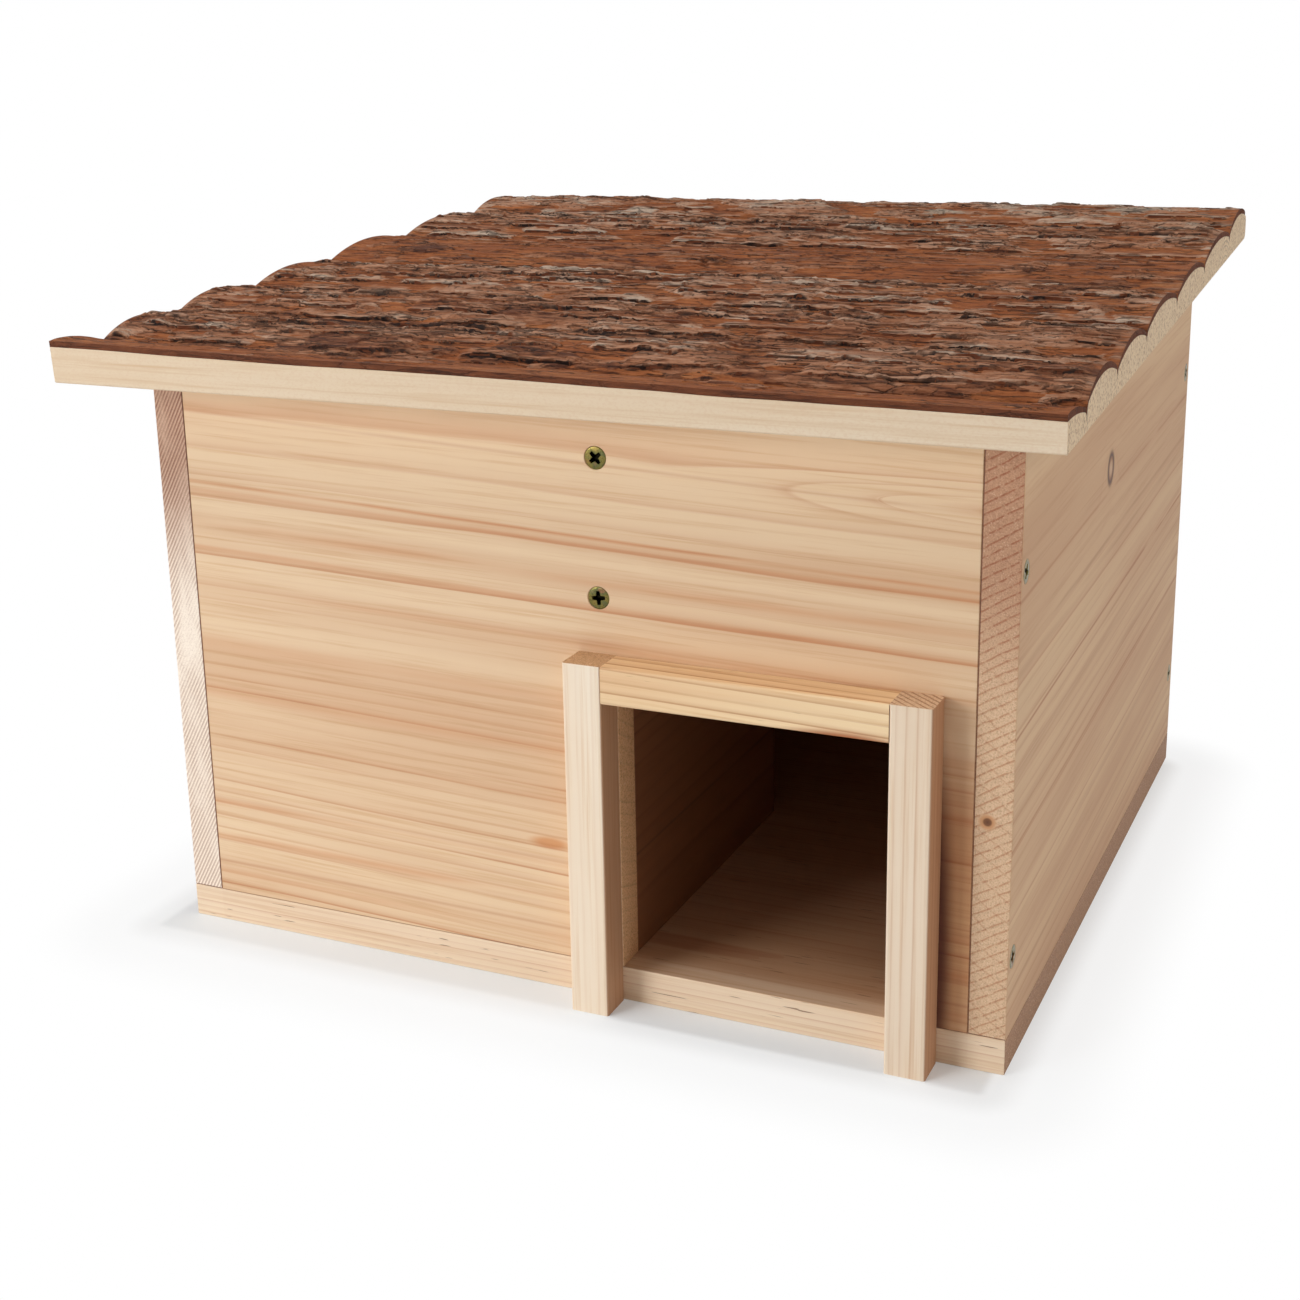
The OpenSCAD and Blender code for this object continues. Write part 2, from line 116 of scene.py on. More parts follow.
def timesPlus(tree, first, second, third):  # first x second + third
    return calc(tree, "MULTIPLY_ADD", first, second, third)


def vectorCalc(tree, operation, *values):
    made = make(tree, "VectorMath", dict(enumerate(values)), operation=operation)
    return made.outputs["Value" if operation == "LENGTH" else "Vector"]


def mapped(tree, vector, **inputs):
    return make(tree, "Mapping", {"Vector": vector, **inputs}).outputs["Vector"]


def axes(tree, vector):
    return make(tree, "SeparateXYZ", {"Vector": vector}).outputs


def attribute(tree, name):
    return make(tree, "Attribute", attribute_name=name).outputs["Fac"]


def ramp(tree, factor, stops, interpolation="LINEAR"):  # stops are (place, grey) or (place, red, green, blue)
    made = make(tree, "ValToRGB", {"Fac": factor})
    made.color_ramp.interpolation = interpolation
    stops = [(place, tint(*shade) if len(shade) == 3 else grey(*shade)) for place, *shade in stops]
    first, last = made.color_ramp.elements
    first.position, last.position = stops[0][0], stops[-1][0]
    first.color, last.color = stops[0][1], stops[-1][1]
    for place, colour in stops[1:-1]:
        made.color_ramp.elements.new(place).color = colour
    return made.outputs["Color"]


def fade(tree, factor, start, end):  # from 0 at start to 1 at end
    inputs = {"Value": factor, "From Min": start, "From Max": end}
    return make(tree, "MapRange", inputs, interpolation_type="SMOOTHSTEP").outputs["Result"]


def mixed(tree, factor, first, second, blend="MIX"):
    made = make(tree, "Mix", {0: factor, 6: first, 7: second}, data_type="RGBA", blend_type=blend)
    return made.outputs[2]


def noiseValue(tree, vector, detail=2.0, roughness=0.5, distortion=0.0):
    inputs = {"Vector": vector, "Scale": 1.0, "Detail": detail, "Roughness": roughness, "Distortion": distortion}
    return make(tree, "TexNoise", inputs)


def noiseAt(tree, vector, scale, *settings, **place):
    return noiseValue(tree, mapped(tree, vector, Scale=scale, **place), *settings).outputs["Fac"]


def bumped(tree, height, strength, distance):
    return make(tree, "Bump", {"Height": height, "Strength": strength, "Distance": distance}).outputs["Normal"]


def newMaterial(name):
    material = bpy.data.materials.new(name)
    material.use_nodes = True
    tree = material.node_tree
    return material, tree, tree.nodes["Principled BSDF"]


# Wood: growth rings round a pith that lies in or beside each board
grainTurn = {"X": (0, 0, 0), "Y": (0, 0, -math.pi / 2), "Z": (0, math.pi / 2, 0)}
paleKnot = [
    (0.0, 222, 196, 166), (0.2, 204, 168, 134), (0.32, 150, 104, 74), (0.42, 84, 54, 38), (0.5, 130, 88, 60),
    (0.62, 205, 165, 126)]
darkKnot = [(0.0, 120, 80, 54), (0.2, 150, 104, 72), (0.32, 176, 130, 94), (0.42, 116, 76, 52), (0.5, 196, 154, 116)]
pinKnot = [(0.0, 98, 58, 32), (0.26, 126, 80, 48), (0.36, 202, 146, 100), (0.8, 218, 178, 140)]
softwood = {
    "grain": "X", "tilt": 0.0, "pith": (0.07, 0.21), "ring": 4.2 * mm, "wander": 7 * mm, "ripple": 0.9 * mm,
    "pale": tint(229, 199, 166), "warm": tint(216, 179, 143), "late": tint(196, 130, 84), "lateLow": 0.12,
    "lateHigh": 0.75, "streakColour": tint(198, 132, 82), "streaks": [], "paleStreaks": [], "thinLines": [],
    "lineColour": tint(150, 104, 72), "fan": (0.0, 0.0), "knots": [], "figures": [], "calm": [], "stainsAndShadows": [],
    "seams": [], "endLow": tint(214, 180, 148), "endHigh": tint(196, 158, 126), "endReach": (0.0, 0.2),
    "endRough": 0.5, "endRings": 0.8, "endPits": 1900, "hatches": [], "dashes": 0.0, "specks": 0.0,
    "roomShadeShare": 1.0, "side": None, "seed": 0.0, "roughness": 0.62,
}
# Painted shade inside the house, where little light gets in. On the floor this reaches the sill of the doorway
roomShade = {
    "shift": (0, -8.114 * mm, 0), "halfWidth": 152.1 * mm, "halfDepth": 160 * mm, "soft": 18 * mm,
    "tint": tint(188, 146, 112), "sill": 20 * mm, "sillShare": 0.6,
}
streakReach = 0.25  # a height above all streaks


def streakRamp(tree, height, streaks):
    places = []
    for middle, half, strength in sorted(streaks):
        for level, shade in ((middle - half, 0), (middle, strength), (middle + half, 0)):
            places.append((level * mm / streakReach, shade))
    return ramp(tree, calc(tree, "DIVIDE", height, streakReach), places)


def wander(tree, vector, scale, reach, detail, roughness, **place):  # a shift that varies from place to place
    shift = noiseValue(tree, mapped(tree, vector, Scale=scale, **place), detail, roughness).outputs["Color"]
    return vectorCalc(tree, "MULTIPLY", vectorCalc(tree, "SUBTRACT", shift, (0.5, 0.5, 0.5)), reach)


def awayFrom(tree, vector, centre, scale):  # the distance from a place, stretched by scale
    shift = tuple(-c * mm * s for c, s in zip(centre, scale))
    return vectorCalc(tree, "LENGTH", mapped(tree, vector, Scale=scale, Location=shift))


def lateWood(tree, look, radius, along):  # the dark part of each ring, which some rings have more of
    rings = calc(tree, "DIVIDE", radius, look["ring"])
    number = calc(tree, "ADD", calc(tree, "FLOOR", rings), look["seed"])
    tone = make(tree, "TexWhiteNoise", {"W": number}, noise_dimensions="1D").outputs["Value"]
    late = ramp(tree, calc(tree, "FRACT", rings), [
        (0.0, 0.6), (0.05, 0.0), (0.5, 0.05), (0.8, 0.35), (0.95, 1.0), (1.0, 0.6)])
    low, high = look["lateLow"], look["lateHigh"]
    late = times(tree, late, timesPlus(tree, calc(tree, "POWER", tone, 1.6), high - low, low))
    if look["calm"]:
        calm = streakRamp(tree, axes(tree, along)["Z"], look["calm"])
        late = times(tree, late, calc(tree, "SUBTRACT", 1.0, calm))
    return late


def addStreaks(tree, look, colour, along, ripple):  # streaks at measured heights, which fan out along the board
    seed = look["seed"]
    place = axes(tree, vectorCalc(tree, "ADD", along, ripple))
    slope = timesPlus(tree, place["Z"], look["fan"][1], look["fan"][0])
    height = timesPlus(tree, place["X"], slope, place["Z"])
    if look["streaks"]:
        broken = fade(tree, noiseAt(tree, along, (9, 160, 160), Location=(0, seed, 0)), 0.25, 0.6)
        mask = times(tree, streakRamp(tree, height, look["streaks"]), broken)
        colour = mixed(tree, mask, colour, look["streakColour"])
    if look["paleStreaks"]:
        colour = mixed(tree, streakRamp(tree, height, look["paleStreaks"]), colour, look["pale"])
    if look["thinLines"]:
        broken = fade(tree, noiseAt(tree, along, (16, 40, 40), Location=(seed, 0, 0)), 0.3, 0.45)
        mask = times(tree, streakRamp(tree, height, look["thinLines"]), broken)
        colour = mixed(tree, mask, colour, look["lineColour"])
    return colour


def sawnEnd(tree, look, late, pits, up, along, ripple):  # sawn ends are pitted, and some show lines across
    rise = fade(tree, up, *look["endReach"])
    colour = mixed(tree, rise, look["endLow"], look["endHigh"])
    colour = mixed(tree, times(tree, late, look["endRings"]), colour, grey(0.62), "MULTIPLY")
    deep = times(tree, fade(tree, pits, 0.45, 0.7), look["endRough"])
    colour = mixed(tree, deep, colour, tint(160, 124, 104), "MULTIPLY")
    raised = times(tree, fade(tree, pits, 0.42, 0.28), look["endRough"])
    colour = mixed(tree, raised, colour, tint(240, 222, 204))
    for hatch in look["hatches"]:
        shaky = vectorCalc(tree, "MULTIPLY", ripple, (0, hatch["shake"], hatch["shake"]))
        place = axes(tree, vectorCalc(tree, "ADD", along, shaky))
        across, upward = (part(hatch["slope"]) / hatch["spacing"] for part in (math.sin, math.cos))
        step = timesPlus(tree, place["Y"], across, times(tree, place["Z"], upward))
        width = hatch["width"]
        lines = ramp(tree, calc(tree, "FRACT", step), [
            (0.0, 1), (width * 0.4, 1), (width, 0), (1 - width, 0), (1.0, 1)])
        patchy = fade(tree, noiseAt(tree, along, hatch["patches"], 3.0, 0.6), 0.3, 0.55)
        strong = timesPlus(tree, rise, hatch["high"] - hatch["low"], hatch["low"])
        mask = times(tree, lines, times(tree, patchy, strong))
        colour = mixed(tree, mask, colour, hatch["tint"], "MULTIPLY")
    return colour


def addSeams(tree, look, colour, place, facing):  # dark seams where the boards meet in front
    ahead = fade(tree, facing["Y"], -0.3, -0.5)
    seamColour = mixed(tree, 1.0, colour, tint(112, 64, 42), "MULTIPLY")
    for axis, level, half, strength in look["seams"]:
        away = calc(tree, "ABSOLUTE", calc(tree, "SUBTRACT", place[axis], level * mm))
        near = times(tree, fade(tree, away, half * mm, half * 0.4 * mm), strength)
        colour = mixed(tree, times(tree, near, ahead), colour, seamColour)
    return colour


# paints the shade inside the house into the colour, as much as each wood's share says
def paintRoomShade(tree, look, colour, here, up, facing):
    place = axes(tree, vectorCalc(tree, "ABSOLUTE", mapped(tree, here, Location=roomShade["shift"])))
    onSill = times(tree, calc(tree, "LESS_THAN", up, roomShade["sill"]), fade(tree, facing["Z"], 0.5, 0.9))
    onSill = times(tree, onSill, roomShade["sillShare"])
    deep = fade(tree, place["Y"], roomShade["halfDepth"], roomShade["halfDepth"] - roomShade["soft"])
    between = calc(tree, "LESS_THAN", place["X"], roomShade["halfWidth"])
    inside = times(tree, between, calc(tree, "MAXIMUM", onSill, deep))
    return mixed(tree, times(tree, inside, look["roomShadeShare"]), colour, roomShade["tint"], "MULTIPLY")


def woodMaterial(name, changes):
    look = {**softwood, **changes}
    material, tree, shader = newMaterial(name)
    seed = look["seed"]
    spot = make(tree, "TexCoord").outputs
    here, facing = spot["Object"], axes(tree, spot["Normal"])
    place = axes(tree, here)
    along = mapped(tree, here, Rotation=grainTurn[look["grain"]])
    tilted = mapped(tree, along, Rotation=(0, look["tilt"], 0))

    # slow wandering of the grain, then a finer ripple
    slow = wander(tree, tilted, (2.4, 13, 13), (0, look["wander"], look["wander"]), 2.0, 0.45,
                  Location=(seed, seed * 0.7, -seed))
    ripple = wander(tree, tilted, (11, 90, 90), (0, look["ripple"], look["ripple"]), 2.0, 0.5,
                    Location=(-seed, seed, seed * 0.3))
    bent = vectorCalc(tree, "ADD", vectorCalc(tree, "ADD", tilted, slow), ripple)

    # distance from the pith, which knots bend
    fromPith = vectorCalc(tree, "SUBTRACT", bent, (0, *look["pith"]))
    radius = vectorCalc(tree, "LENGTH", vectorCalc(tree, "MULTIPLY", fromPith, (0, 1, 1)))
    knotParts = []
    for centre, shape, size, bulge, *shades in look["knots"] + look["figures"]:
        away = awayFrom(tree, bent, centre, tuple(part / (size * mm) for part in shape))
        radius = calc(tree, "ADD", radius, times(tree, fade(tree, away, 4.5, 0.2), bulge * mm))
        if shades:
            knotParts.append((away, shades[0]))
    late = lateWood(tree, look, radius, along)

    # broad bands, late wood, streaks, stains and painted shadows, and fibres
    bands = fade(tree, noiseAt(tree, bent, (2.0, 30, 30), 3.0, 0.55, Location=(seed * 2, 0, seed)), 0.34, 0.66)
    fibre = noiseAt(tree, tilted, (14, 700, 700), 4.0, 0.6, Location=(seed, 0, 0))
    colour = mixed(tree, late, mixed(tree, bands, look["pale"], look["warm"]), look["late"])
    colour = addStreaks(tree, look, colour, along, ripple)
    for centre, radii, stainAndShadowColour in look["stainsAndShadows"]:
        away = awayFrom(tree, along, centre, tuple(1 / (part * mm) for part in radii))
        colour = mixed(tree, fade(tree, away, 1.0, 0.35), colour, stainAndShadowColour, "MULTIPLY")
    fibreShade = ramp(tree, fibre, [(0.3, 240, 227, 212), (0.5, 254, 253, 251), (0.72, 255, 255, 255)])
    colour = mixed(tree, 0.85, colour, fibreShade, "MULTIPLY")
    if look["dashes"]:
        dash = fade(tree, noiseAt(tree, tilted, (70, 1300, 1300), 1.0, Location=(seed, seed, 0)), 0.72, 0.76)
        colour = mixed(tree, times(tree, dash, look["dashes"]), colour, tint(120, 76, 48))
    if look["specks"]:
        speck = fade(tree, noiseAt(tree, tilted, (900, 1500, 1500)), 0.45, 0.68)
        colour = mixed(tree, times(tree, speck, look["specks"]), colour, look["late"])

    # sawn ends, knots, seams, painted shade inside the house and painted shade on faces turned to +X
    atEnd = fade(tree, calc(tree, "ABSOLUTE", facing[look["grain"]]), 0.6, 0.8)
    pits = noiseAt(tree, tilted, (300, look["endPits"], look["endPits"]), 3.0, 0.7)
    colour = mixed(tree, atEnd, colour, sawnEnd(tree, look, late, pits, place["Z"], along, ripple))
    for away, shades in knotParts:
        shade = ramp(tree, calc(tree, "DIVIDE", away, 2), shades)
        colour = mixed(tree, fade(tree, away, 1.5, 0.9), colour, shade)
    if look["seams"]:
        colour = addSeams(tree, look, colour, place, facing)
    if look["roomShadeShare"]:
        colour = paintRoomShade(tree, look, colour, here, place["Z"], facing)
    # painted shade on faces turned to +X
    if look["side"]:
        colour = mixed(tree, fade(tree, facing["X"], 0.3, 0.9), colour, look["side"], "MULTIPLY")

    height = times(tree, fibre, 0.7)
    height = calc(tree, "SUBTRACT", height, times(tree, atEnd, times(tree, pits, 0.5)))
    fill(tree, shader, {
        "Base Color": colour, "Roughness": timesPlus(tree, fibre, 0.2, look["roughness"] - 0.1),
        "Normal": bumped(tree, height, 0.35, 0.25 * mm)})
    return material


# Piece helpers
def linked(name, shape, material, sharpAngle=0.0):  # an object made from a bmesh
    mesh = bpy.data.meshes.new(name)
    shape.to_mesh(mesh)
    shape.free()
    if sharpAngle:
        mesh.polygons.foreach_set("use_smooth", [True] * len(mesh.polygons))
        mesh.set_sharp_from_angle(angle=sharpAngle)
    mesh.materials.append(material)
    made = bpy.data.objects.new(name, mesh)
    bpy.context.scene.collection.objects.link(made)
    return made


def newPiece(name, shape, material, body, replaced, sharpAngle=0.0):
    piece = linked(name, shape, material, sharpAngle)
    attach(piece, body)
    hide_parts(*replaced)


def dress(nodeName, material):
    node = nodes[nodeName]
    if node.material_slots:
        node.material_slots[0].material = material
    else:
        node.data.materials.append(material)


# Boards of the box: the CAD boards with their long edges eased
easing = {"size": 0.35 * mm, "leastAngle": math.radians(50), "leastLength": 8 * mm}


def straightRuns(shape):  # the edges of every long straight run, also where bores cut it in pieces
    runs = {}
    for edge in shape.edges:
        if len(edge.link_faces) != 2 or edge.calc_face_angle() < easing["leastAngle"]:
            continue
        start, end = (vert.co for vert in edge.verts)
        way = (end - start).normalized()
        if max(way, key=abs) < 0:
            way.negate()
        foot = start - way * start.dot(way)
        key = tuple(round(part, 2) for part in way) + tuple(round(part * 5000) for part in foot)
        runs.setdefault(key, []).append(edge)
    long = (run for run in runs.values() if sum(edge.calc_length() for edge in run) > easing["leastLength"])
    return [edge for run in long for edge in run]


def easedBoard(nodeName, material, body):
    shape = bmesh.new()
    shape.from_mesh(nodes[nodeName].data)
    bmesh.ops.remove_doubles(shape, verts=shape.verts, dist=mergeDistance)
    bmesh.ops.dissolve_limit(shape, angle_limit=math.radians(0.5), verts=shape.verts, edges=shape.edges)
    bmesh.ops.bevel(shape, geom=straightRuns(shape), offset=easing["size"], offset_type="OFFSET", affect="EDGES",
                    segments=2, profile=0.5, clamp_overlap=True, material=-1)
    newPiece(nodeName + "_eased", shape, material, body, [nodeName])


# Marks are placed in millimetres. A streak is its height, half its width and its strength. A knot is its place,
# shape, size, how far it bends the rings, and its shades, and a figure is a knot without shades
frontWall = {
    "grain": "X", "tilt": math.radians(-1.6), "pith": (-0.085, 0.214), "ring": 4.4 * mm, "wander": 9 * mm,
    "seed": 3.1, "fan": (0.004, 0.22), "lateHigh": 0.85, "pale": tint(238, 209, 173), "warm": tint(221, 183, 146),
    "roomShadeShare": 0.25, "streakColour": tint(206, 134, 82), "lineColour": tint(178, 96, 44),
    "streaks": [
        (20.0, 1.6, 0.4), (35.0, 2.4, 0.6), (49.0, 1.5, 0.55), (93.0, 3.0, 0.3), (113.0, 4.5, 0.25),
        (135.0, 1.5, 0.3), (149.0, 1.2, 0.6), (158.5, 2.6, 0.5), (170.5, 0.7, 0.8), (174.0, 0.7, 1.0)],
    "paleStreaks": [
        (28.5, 3.5, 0.7), (120.5, 7.0, 0.7), (142.0, 5.5, 0.8), (153.5, 2.5, 0.5), (165.5, 4.4, 1.0),
        (181.0, 4.0, 0.5)],
    "thinLines": [
        (24.5, 0.25, 0.5), (33.0, 0.25, 0.7), (50.6, 0.25, 0.7), (111.0, 0.2, 0.35), (145.2, 0.2, 0.2),
        (177.4, 0.3, 0.7), (184.3, 0.2, 0.6), (192.0, 0.3, 1.0), (200.5, 0.4, 1.0), (206.5, 0.3, 0.9)],
    "calm": [(48.0, 12.0, 0.6), (62.0, 16.0, 0.85), (80.0, 20.0, 0.95), (100.0, 22.0, 0.95), (120.0, 20.0, 0.9)],
    "figures": [((170, 0, 200), (0.075, 0, 1), 2.3, 13.0)],
    # The second and third stains are the painted shadow of the right post on the wall beside it, darkest next to the
    # post
    "stainsAndShadows": [
        ((-4, 0, 57), (11, 900, 3.2), tint(236, 200, 168)), ((139.5, 0, 42), (8.5, 900, 92), tint(118, 80, 60)),
        ((147, 0, 56), (20, 900, 76), tint(226, 196, 170))],
    "seams": [("X", -152.0, 0.35, 0.6), ("X", 152.0, 0.35, 0.6), ("Z", 13.0, 0.5, 0.6)],
    "endLow": tint(236, 190, 142), "endHigh": tint(236, 190, 142), "endRough": 0.6, "endPits": 1500,
}
# Lines across sawn ends: width is the dark share of the spacing, low and high the strength at foot and head
sawMarks = {
    "slope": math.radians(61), "spacing": 1.3 * mm, "width": 0.42, "low": 0.6, "high": 0.9, "shake": 0.25,
    "patches": (1, 60, 25), "tint": tint(166, 122, 98),
}
ringMarks = {
    "slope": math.radians(31), "spacing": 3.0 * mm, "width": 0.16, "low": 0.6, "high": 0.75, "shake": 2.2,
    "patches": (1, 520, 520), "tint": tint(206, 146, 112),
}
crossMarks = {
    "slope": math.radians(-38), "spacing": 6.3 * mm, "width": 0.07, "low": 0.3, "high": 0.1, "shake": 3.5,
    "patches": (1, 300, 90), "tint": tint(206, 146, 112),
}
sideWall = {
    "grain": "Y", "ring": 5.2 * mm, "wander": 10 * mm, "lateLow": 0.05, "lateHigh": 0.5,
    "pale": tint(233, 200, 162), "warm": tint(214, 173, 136), "late": tint(184, 112, 68),
}
rightWall = {
    **sideWall, "tilt": math.radians(2.2), "pith": (-0.1, 0.202), "seed": 8.4, "fan": (-0.035, 0.0),
    "streakColour": tint(188, 136, 98), "lineColour": tint(178, 104, 62),
    "streaks": [
        (33.0, 1.2, 0.7), (57.0, 2.0, 0.4), (98.0, 5.0, 0.35), (112.0, 4.0, 0.35), (146.5, 3.0, 0.4),
        (152.0, 1.4, 0.8)],
    "paleStreaks": [(40.0, 4.0, 0.5), (65.0, 6.0, 0.5), (136.0, 4.0, 0.6), (165.0, 9.0, 0.4)],
    "thinLines": [
        (24.0, 0.25, 0.7), (45.5, 0.25, 0.8), (71.0, 0.25, 0.8), (86.0, 0.25, 0.7), (104.0, 0.25, 0.7),
        (125.0, 0.25, 0.8), (141.0, 0.25, 0.8), (158.5, 0.25, 0.9), (171.0, 0.25, 0.8), (191.0, 0.25, 0.6)],
    "knots": [((-3, 0, 180), (1.1, 0, 1), 6.2, 6.0, paleKnot), ((-149, -158.5, 96), (0, 1, 1), 2.4, 1.0, pinKnot)],
    "hatches": [ringMarks, crossMarks], "endRough": 0.45, "endRings": 0.4,
    "endLow": tint(226, 192, 156), "endHigh": tint(194, 148, 115), "endReach": (0.12, 0.18),
    "seams": [("X", 152.0, 0.5, 1.0), ("Z", 13.0, 0.6, 1.0)],
}
leftWall = {
    **sideWall, "tilt": math.radians(-1.5), "pith": (0.2, 0.19), "seed": 15.7,
    "hatches": [sawMarks], "endRough": 0.3, "endRings": 0.08,
    "endLow": tint(255, 240, 223), "endHigh": tint(206, 168, 142), "endReach": (0.13, 0.19),
    "seams": [("X", -152.0, 0.5, 1.0), ("Z", 13.0, 0.6, 1.0)],
}
backWall = {
    "grain": "X", "tilt": math.radians(1.2), "pith": (0.12, 0.05), "ring": 4.8 * mm, "seed": 21.3,
    "knots": [((72, 0, 66), (0.8, 0, 1), 5.0, 6.0, darkKnot)],
}
floorBoard = {
    "grain": "X", "pith": (-0.12, -0.055), "ring": 2.2 * mm, "seed": 27.9, "dashes": 0.75, "lateHigh": 0.5,
    "roomShadeShare": 0.8, "pale": tint(243, 220, 192), "warm": tint(234, 206, 176), "endLow": tint(176, 132, 96),
    "endHigh": tint(176, 132, 96), "endRough": 0.7,
}
# The divider's wood colours are darkened as painted shade inside the house
dividerWoodInPaintedShade = {
    "grain": "Y", "pith": (0.05, 0.02), "seed": 33.3, "tilt": math.radians(1.0), "pale": tint(184, 156, 130),
    "warm": tint(166, 136, 110), "late": tint(136, 100, 74), "thinLines": [(52.0, 0.5, 1.0)],
    "lineColour": tint(80, 52, 36),
}
battenWood = {"grain": "Y", "pith": (0.0, 0.3), "seed": 41.2, "ring": 3.4 * mm, "roomShadeShare": 0.0}

for nodeName, look in (("front_wall", frontWall), ("right_wall", rightWall), ("left_wall", leftWall),
                       ("back_wall", backWall), ("floor_board", floorBoard), ("divider", dividerWoodInPaintedShade)):
    material = woodMaterial(nodeName.replace("_", " ") + " wood", look)
    easedBoard(nodeName, material, "house")
battenMaterial = woodMaterial("batten wood", battenWood)
for nodeName in ("roof_batten_left", "roof_batten_right"):
    easedBoard(nodeName, battenMaterial, "roof")
print("boards done")


# Doorway frame
# The posts' faces turned to +X get painted shade
postWood = {
    "grain": "Z", "ring": 2.6 * mm, "wander": 2.5 * mm, "lateHigh": 0.7, "pale": tint(250, 236, 217),
    "warm": tint(244, 223, 198), "late": tint(212, 172, 132), "endLow": tint(208, 168, 126),
    "endHigh": tint(208, 168, 126), "endRough": 0.6, "roomShadeShare": 0.0, "side": tint(204, 172, 150),
}
leftPost = {**postWood, "pith": (-0.3, -0.09), "seed": 50.5}
postMarks = {
    **ringMarks, "slope": math.radians(130), "spacing": 2.2 * mm, "width": 0.25, "shake": 0.3,
    "patches": (1, 100, 100), "tint": tint(168, 112, 76),
}
rightPost = {
    **postWood, "pith": (-0.24, -0.21), "seed": 55.1, "pale": tint(240, 220, 197), "warm": tint(228, 202, 173),
    "late": tint(196, 148, 108), "endLow": tint(226, 194, 160), "endHigh": tint(226, 194, 160),
    "hatches": [postMarks],
}
lintel = {
    "grain": "X", "ring": 3.2 * mm, "pith": (-0.135, 0.162), "seed": 60.2, "wander": 4 * mm,
    "pale": tint(248, 222, 180), "warm": tint(232, 192, 148), "late": tint(188, 132, 84), "lateHigh": 1.0,
    "tilt": math.radians(-1.5), "dashes": 0.4, "roomShadeShare": 0.0,
    "stainsAndShadows": [((112, 0, 117.5), (28, 900, 4.5), tint(186, 132, 104))],
}
for nodeName, look in (("entrance_post_left", leftPost), ("entrance_post_right", rightPost),
                       ("entrance_lintel", lintel)):
    dress(nodeName, woodMaterial(nodeName + " wood", look))
print("doorway done")


# Roof slabs, in the roof's own frame: u up the slope, h square to it. Edges and rises are in millimetres
roof = {
    "eaveY": -180.386 * mm, "eaveZ": 220.832 * mm, "slope": math.radians(4), "width": 368 * mm,
    "woodHeight": 12.4 * mm, "edgeHeight": 5.2 * mm, "shoulder": 4.5 * mm, "lap": 0.2 * mm, "lip": 0.15 * mm,
    "bark": 2.2 * mm, "barkEdge": 1.4 * mm, "bare": 4 * mm, "waveSeed": 1.7,
    "edges": [(0, 26.74), (26.94, 72.48), (72.68, 123.18), (123.38, 182.83), (183.03, 246.46), (246.66, 313.07),
              (313.27, 362.88)],
    "rises": [(0.9, -2.2), (-0.5, 0.2), (0.3, -0.3), (-0.4, 0.4), (0.3, -0.2), (-0.3, 0.4), (-0.2, 1.4)],
}
roofUp = Vector((0, -math.sin(roof["slope"]), math.cos(roof["slope"])))
roofBack = Vector((0, math.cos(roof["slope"]), math.sin(roof["slope"])))
roofCorner = Vector((0, roof["eaveY"], roof["eaveZ"]))


def onRoof(x, u, h):
    return roofCorner + Vector((x, 0, 0)) + roofBack * u + roofUp * h


def outlineHeight(u, wide, grow, growEdge):
    top = roof["woodHeight"] + grow
    edge = roof["edgeHeight"] + growEdge
    shoulder = roof["shoulder"]
    half = wide / 2 - shoulder
    rise = top - edge - shoulder + roof["lap"]
    radius = (half * half + rise * rise) / (2 * rise)
    crown = top - radius + math.sqrt(max(radius ** 2 - (u - wide / 2) ** 2, 0))
    inset = shoulder - min(u, wide - u)
    if inset > 0:
        return min(crown, edge + math.sqrt(max(shoulder ** 2 - inset ** 2, 0)))
    return crown


def outline(start, end, wide, grow, growEdge, spacing):  # evenly spaced points of (u, h), from start to end
    fineSteps, atEdge = 1200, 0.1 * mm
    points = []
    for step in range(fineSteps + 1):
        share = 0.5 - 0.5 * math.cos(math.pi * step / fineSteps)
        u = start + (end - start) * share
        points.append(Vector((u, outlineHeight(u, wide, grow, growEdge))))
    if start < atEdge:
        points.insert(0, Vector((start, roof["edgeHeight"] + roof["lip"])))
    if wide - end < atEdge:
        points.append(Vector((end, roof["edgeHeight"] + roof["lip"])))
    run = [0.0]
    for first, second in zip(points, points[1:]):
        run.append(run[-1] + (second - first).length)
    count = max(int(run[-1] / spacing), 2)
    even, index = [], 0
    for step in range(count + 1):
        goal = run[-1] * step / count
        while index < len(run) - 2 and run[index + 1] < goal:
            index += 1
        length = run[index + 1] - run[index]
        share = (goal - run[index]) / length if length else 0
        even.append((points[index].lerp(points[index + 1], min(share, 1)), goal))
    return even


def smooth(value):
    value = min(max(value, 0.0), 1.0)
    return value * value * (3 - 2 * value)


def wave(x):  # waviness of the front slab's wood along its length
    seed = roof["waveSeed"]
    return (0.55 * noise((x / (95 * mm), seed, 0)) + 0.2 * noise((x / (22 * mm), seed, 5))) * mm


def riseAt(index, x):  # how far a slab stands above or below its level here
    left, right = roof["rises"][index]
    return (left + (right - left) * (x / roof["width"] + 0.5)) * mm


